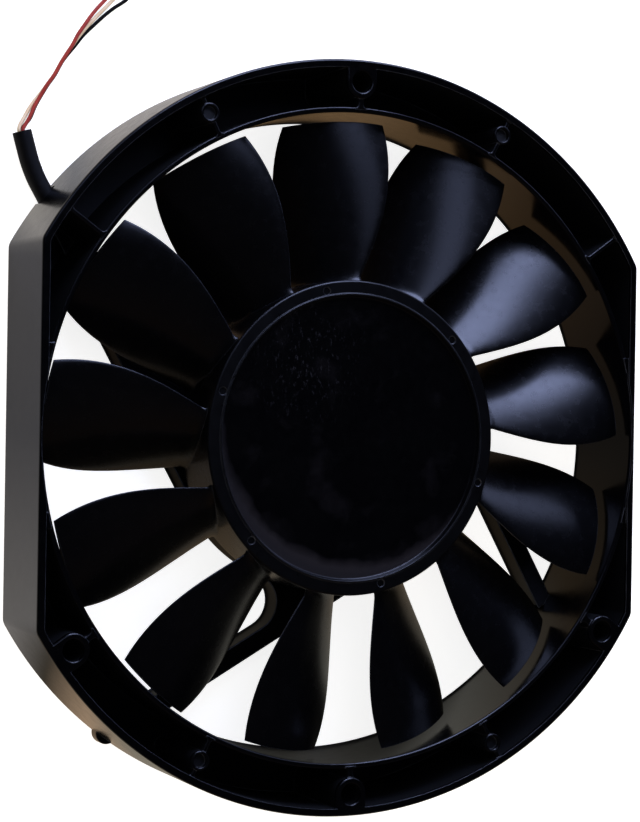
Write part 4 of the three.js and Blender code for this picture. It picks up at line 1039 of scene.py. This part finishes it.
# The base's cup, and the collar that holds the bearing tube.
def basePieces():
    shape = frameShape
    base, inside, rounds = shape["baseRadius"], shape["baseRadius"] - shape["baseWall"], shape["baseRounds"]
    top, plate, collar = shape["baseHeight"], shape["basePlate"], shape["collar"]
    cup = [(0, 0), (base, 0, rounds[0]), (base, top, rounds[1]), (inside, top, rounds[2]),
           (inside, plate, rounds[3]), (0, plate)]
    ring = [(0, shape["sunk"]), (collar, shape["sunk"]), (collar, top, shape["collarRound"]), (0, top)]
    return [turnedPiece("cup", roundCorners(cup), shape["cupSteps"]),
            turnedPiece("collar", roundCorners(ring), shape["collarSteps"])]


# What is cut from the frame last: the seat in the middle, the wires' channel and the holes.
def frameCuts():
    shape = frameShape
    over, clear, seat = shape["overrun"], shape["baseClear"], shape["seatRadius"]
    cuts = [turnedPiece("seat", rectangle((0, -over), (seat, clear)), shape["collarSteps"])]
    start = sqrt((shape["baseRadius"] - shape["baseWall"]) ** 2 - channelLine ** 2) / 2
    end, width = channelEnd + shape["channelPast"], (sleeveDiameter + channel["gap"]) / 2
    corners = [channelPoint(along, across, 0)
               for along, across in rectangle((start, -width), (end, width))]
    depth = bundleHeight + sleeveDiameter / 2 + channel["gap"]
    cuts.append(platePiece("channel", [(p.x, p.y) for p in corners], -over, depth))
    for turn in shape["screwTurns"]:
        cuts += holeTools(shape["screwHole"] / 2, -over, frameDepth, screwCircle, turn,
                          shape["holeRound"])
    for turn in shape["pinTurns"]:
        cuts += holeTools(shape["pin"] / 2 - shape["pinWall"], pinTop - shape["pinHollow"], pinTop,
                          pinCircle, turn, shape["pinRound"])
    return cuts


# The lug on the rim, and the posts that carry the board.
def frameAdditions():
    shape = frameShape
    lug = placedDisc(shape["lug"], shape["ledge"], shape["lugHeight"],
                     frameRadius + shape["lugProud"] - shape["lug"], shape["lugTurn"], shape["lugRound"])
    distance = shape["baseRadius"] - shape["baseWall"] - shape["post"]
    posts = [placedDisc(shape["post"] / 2, shape["sunk"], shape["postHeight"], distance,
                        shape["postTurn"] + 360 / shape["posts"] * k, shape["postRound"])
             for k in range(shape["posts"])]
    return [lug] + posts


def framePiece():
    shape = frameShape
    over, foot, lip = shape["overrun"], shape["ductFoot"], frameDepth - shape["lipDrop"]
    frameBody = platePiece("dressed_frame", rimOutline(0, shape["cornerRound"]), 0, frameDepth,
                           shape["rimRound"], shape["rimRound"])
    envelope = frameBody.copy()
    envelope.data = frameBody.data.copy()
    scene.collection.objects.link(envelope)
    trough = platePiece("trough", rimOutline(shape["rimWall"], shape["troughCorner"]), shape["flange"],
                        frameDepth + over)
    shapeWith(frameBody, [trough], "DIFFERENCE")
    wall = [(ductRadius - over, foot), (ductOuter, foot), (ductOuter, lip, shape["lipEdge"]),
            (ductRadius - over, lip)]
    duct = turnedPiece("duct", roundCorners(wall), shape["ductSteps"])
    shapeWith(frameBody, [duct] + troughPieces(), "UNION")
    shapeWith(frameBody, [borePiece()], "DIFFERENCE")
    shapeWith(frameBody, [strutPiece(k) for k in range(shape["struts"])], "UNION")
    room, clear = shape["baseRadius"] - shape["baseWall"] / 2, shape["baseClear"]
    inside = turnedPiece("inside", rectangle((0, -over), (room, clear)), shape["roomSteps"])
    shapeWith(frameBody, [inside], "DIFFERENCE")
    shapeWith(frameBody, basePieces(), "UNION")
    shapeWith(frameBody, [envelope], "INTERSECT")
    shapeWith(frameBody, frameCuts(), "DIFFERENCE")
    shapeWith(frameBody, frameAdditions(), "UNION")
    return frameBody


fanFrame = framePiece()
finishPiece(fanFrame, frameFinish, "root", ["fan_frame"])
print("frame made,", len(fanFrame.data.polygons), "faces")

# Impeller: a hub cup with a raised band, and thirteen twisted blades

impellerShape = {
    "blades": 13, "bladeTurn": 97.85, "hubRadius": 36, "tipGap": 1.5, "hubWall": 1.9, "band": 3.4,
    "recess": 1.2, "frontWall": 1.6, "bead": 0.2, "beadFoot": 0.5, "beadTop": 0.34, "edgeRound": 0.5,
    "rounds": (0.6, 0.3, 0.05, 0.12, 0.15, 0.3),  # from the inside of the cup, by the bead, to the face
    "thickness": 1.7, "tipThickness": 1.2, "camber": 0.075, "rootFillet": 1.4, "rootDepth": 1,
    "pockets": 6, "pocket": 1.8, "pocketDepth": 0.5, "pocketTurn": 42.6, "overrun": 1,
    "hubSteps": 240, "pocketSteps": 24,
    # Shares: how the rows crowd at the root, how blunt the edges are, and the fillet's width
    "crowding": 1.25, "bluntness": 0.7, "filletShare": 0.8,
    # The two edges from root to tip, as control values of a cubic: turn in blade pitches, height in
    # hub depths.
    "leadTurn": (-0.371, -0.612, -0.622, -0.501), "leadHeight": (0.859, 0.954, 0.932, 0.794),
    "trailTurn": (0.371, 0.278, 0.294, 0.118), "trailHeight": (0.055, 0.027, 0.107, 0.294),
}
hubLow, hubHigh = [corner.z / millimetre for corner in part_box("impeller")]
hubRadius = impellerShape["hubRadius"]
tipRadius = ductRadius - impellerShape["tipGap"]


def cubic(values, share):
    rest = 1 - share
    return (values[0] * rest ** 3 + 3 * values[1] * rest ** 2 * share + 3 * values[2] * rest * share ** 2
            + values[3] * share ** 3)


def bladePiece(k, spanSteps=26, aroundSteps=44):
    shape = impellerShape
    pitch, fillet = fullTurn / shape["blades"], shape["rootFillet"]
    start = hubRadius - shape["rootDepth"]
    loops = []
    for row in range(spanSteps + 1):
        radius = start + (tipRadius - start) * (row / spanSteps) ** shape["crowding"]
        span = (radius - hubRadius) / (tipRadius - hubRadius)
        lead, trail = [Vector((radius * pitch * cubic(shape[turn], span),
                               hubLow + cubic(shape[height], span) * (hubHigh - hubLow)))
                       for turn, height in (("leadTurn", "leadHeight"), ("trailTurn", "trailHeight"))]
        chord = trail - lead
        across = Vector((-chord.y, chord.x)).normalized()
        away = max(0.0, 1 - max(0.0, radius - hubRadius) / fillet)
        flare = fillet * (1 - sqrt(1 - away ** 2)) * shape["filletShare"]
        half = (shape["thickness"] + (shape["tipThickness"] - shape["thickness"]) * span) / 2
        loop = []
        for s in range(aroundSteps):
            a = fullTurn * s / aroundSteps
            share = (1 - cos(a)) / 2
            side = (1 if sin(a) > 0 else -1) * abs(sin(a)) ** shape["bluntness"]
            bulge = shape["camber"] * chord.length * 4 * share * (1 - share)
            point = (lead + chord * share + across * (bulge + (half + flare) * side)
                     + chord.normalized() * (flare * (2 * share - 1)))
            angle = radians(shape["bladeTurn"]) + pitch * k + point.x / radius
            loop.append((radius * cos(angle), radius * sin(angle), point.y))
        loops.append(loop)
    return loftPiece(f"blade_{k}", loops)


def impellerPiece():
    shape = impellerShape
    inner, band = hubRadius - shape["hubWall"], hubRadius - shape["band"]
    plate, face = hubHigh - shape["recess"], hubHigh - shape["bead"]
    under, foot, top = plate - shape["frontWall"], band + shape["beadFoot"], band + shape["beadTop"]
    rounds = shape["rounds"]
    profile = [(0, under), (inner, under, rounds[0]), (inner, hubLow, rounds[1]),
               (hubRadius, hubLow, rounds[1]), (hubRadius, face, shape["edgeRound"]),
               (foot, face, rounds[2]), (top, hubHigh, rounds[3]), (band, hubHigh, rounds[4]),
               (band - shape["recess"] / 3, plate, rounds[5]), (0, plate)]
    hub = turnedPiece("dressed_impeller", roundCorners(profile), shape["hubSteps"])
    shapeWith(hub, [bladePiece(k) for k in range(shape["blades"])], "UNION")
    distance = hubRadius - (shape["band"] + shape["edgeRound"]) / 2
    low, high = hubHigh - shape["pocketDepth"], hubHigh + shape["overrun"]
    pockets = [placedDisc(shape["pocket"] / 2, low, high, distance,
                          shape["pocketTurn"] + 360 / shape["pockets"] * k, count=shape["pocketSteps"])
               for k in range(shape["pockets"])]
    shapeWith(hub, pockets, "DIFFERENCE")
    return hub


impeller = impellerPiece()
finishPiece(impeller, bladeFinish, "rotor", ["impeller"], sharp=40)
print("impeller made,", len(impeller.data.polygons), "faces")
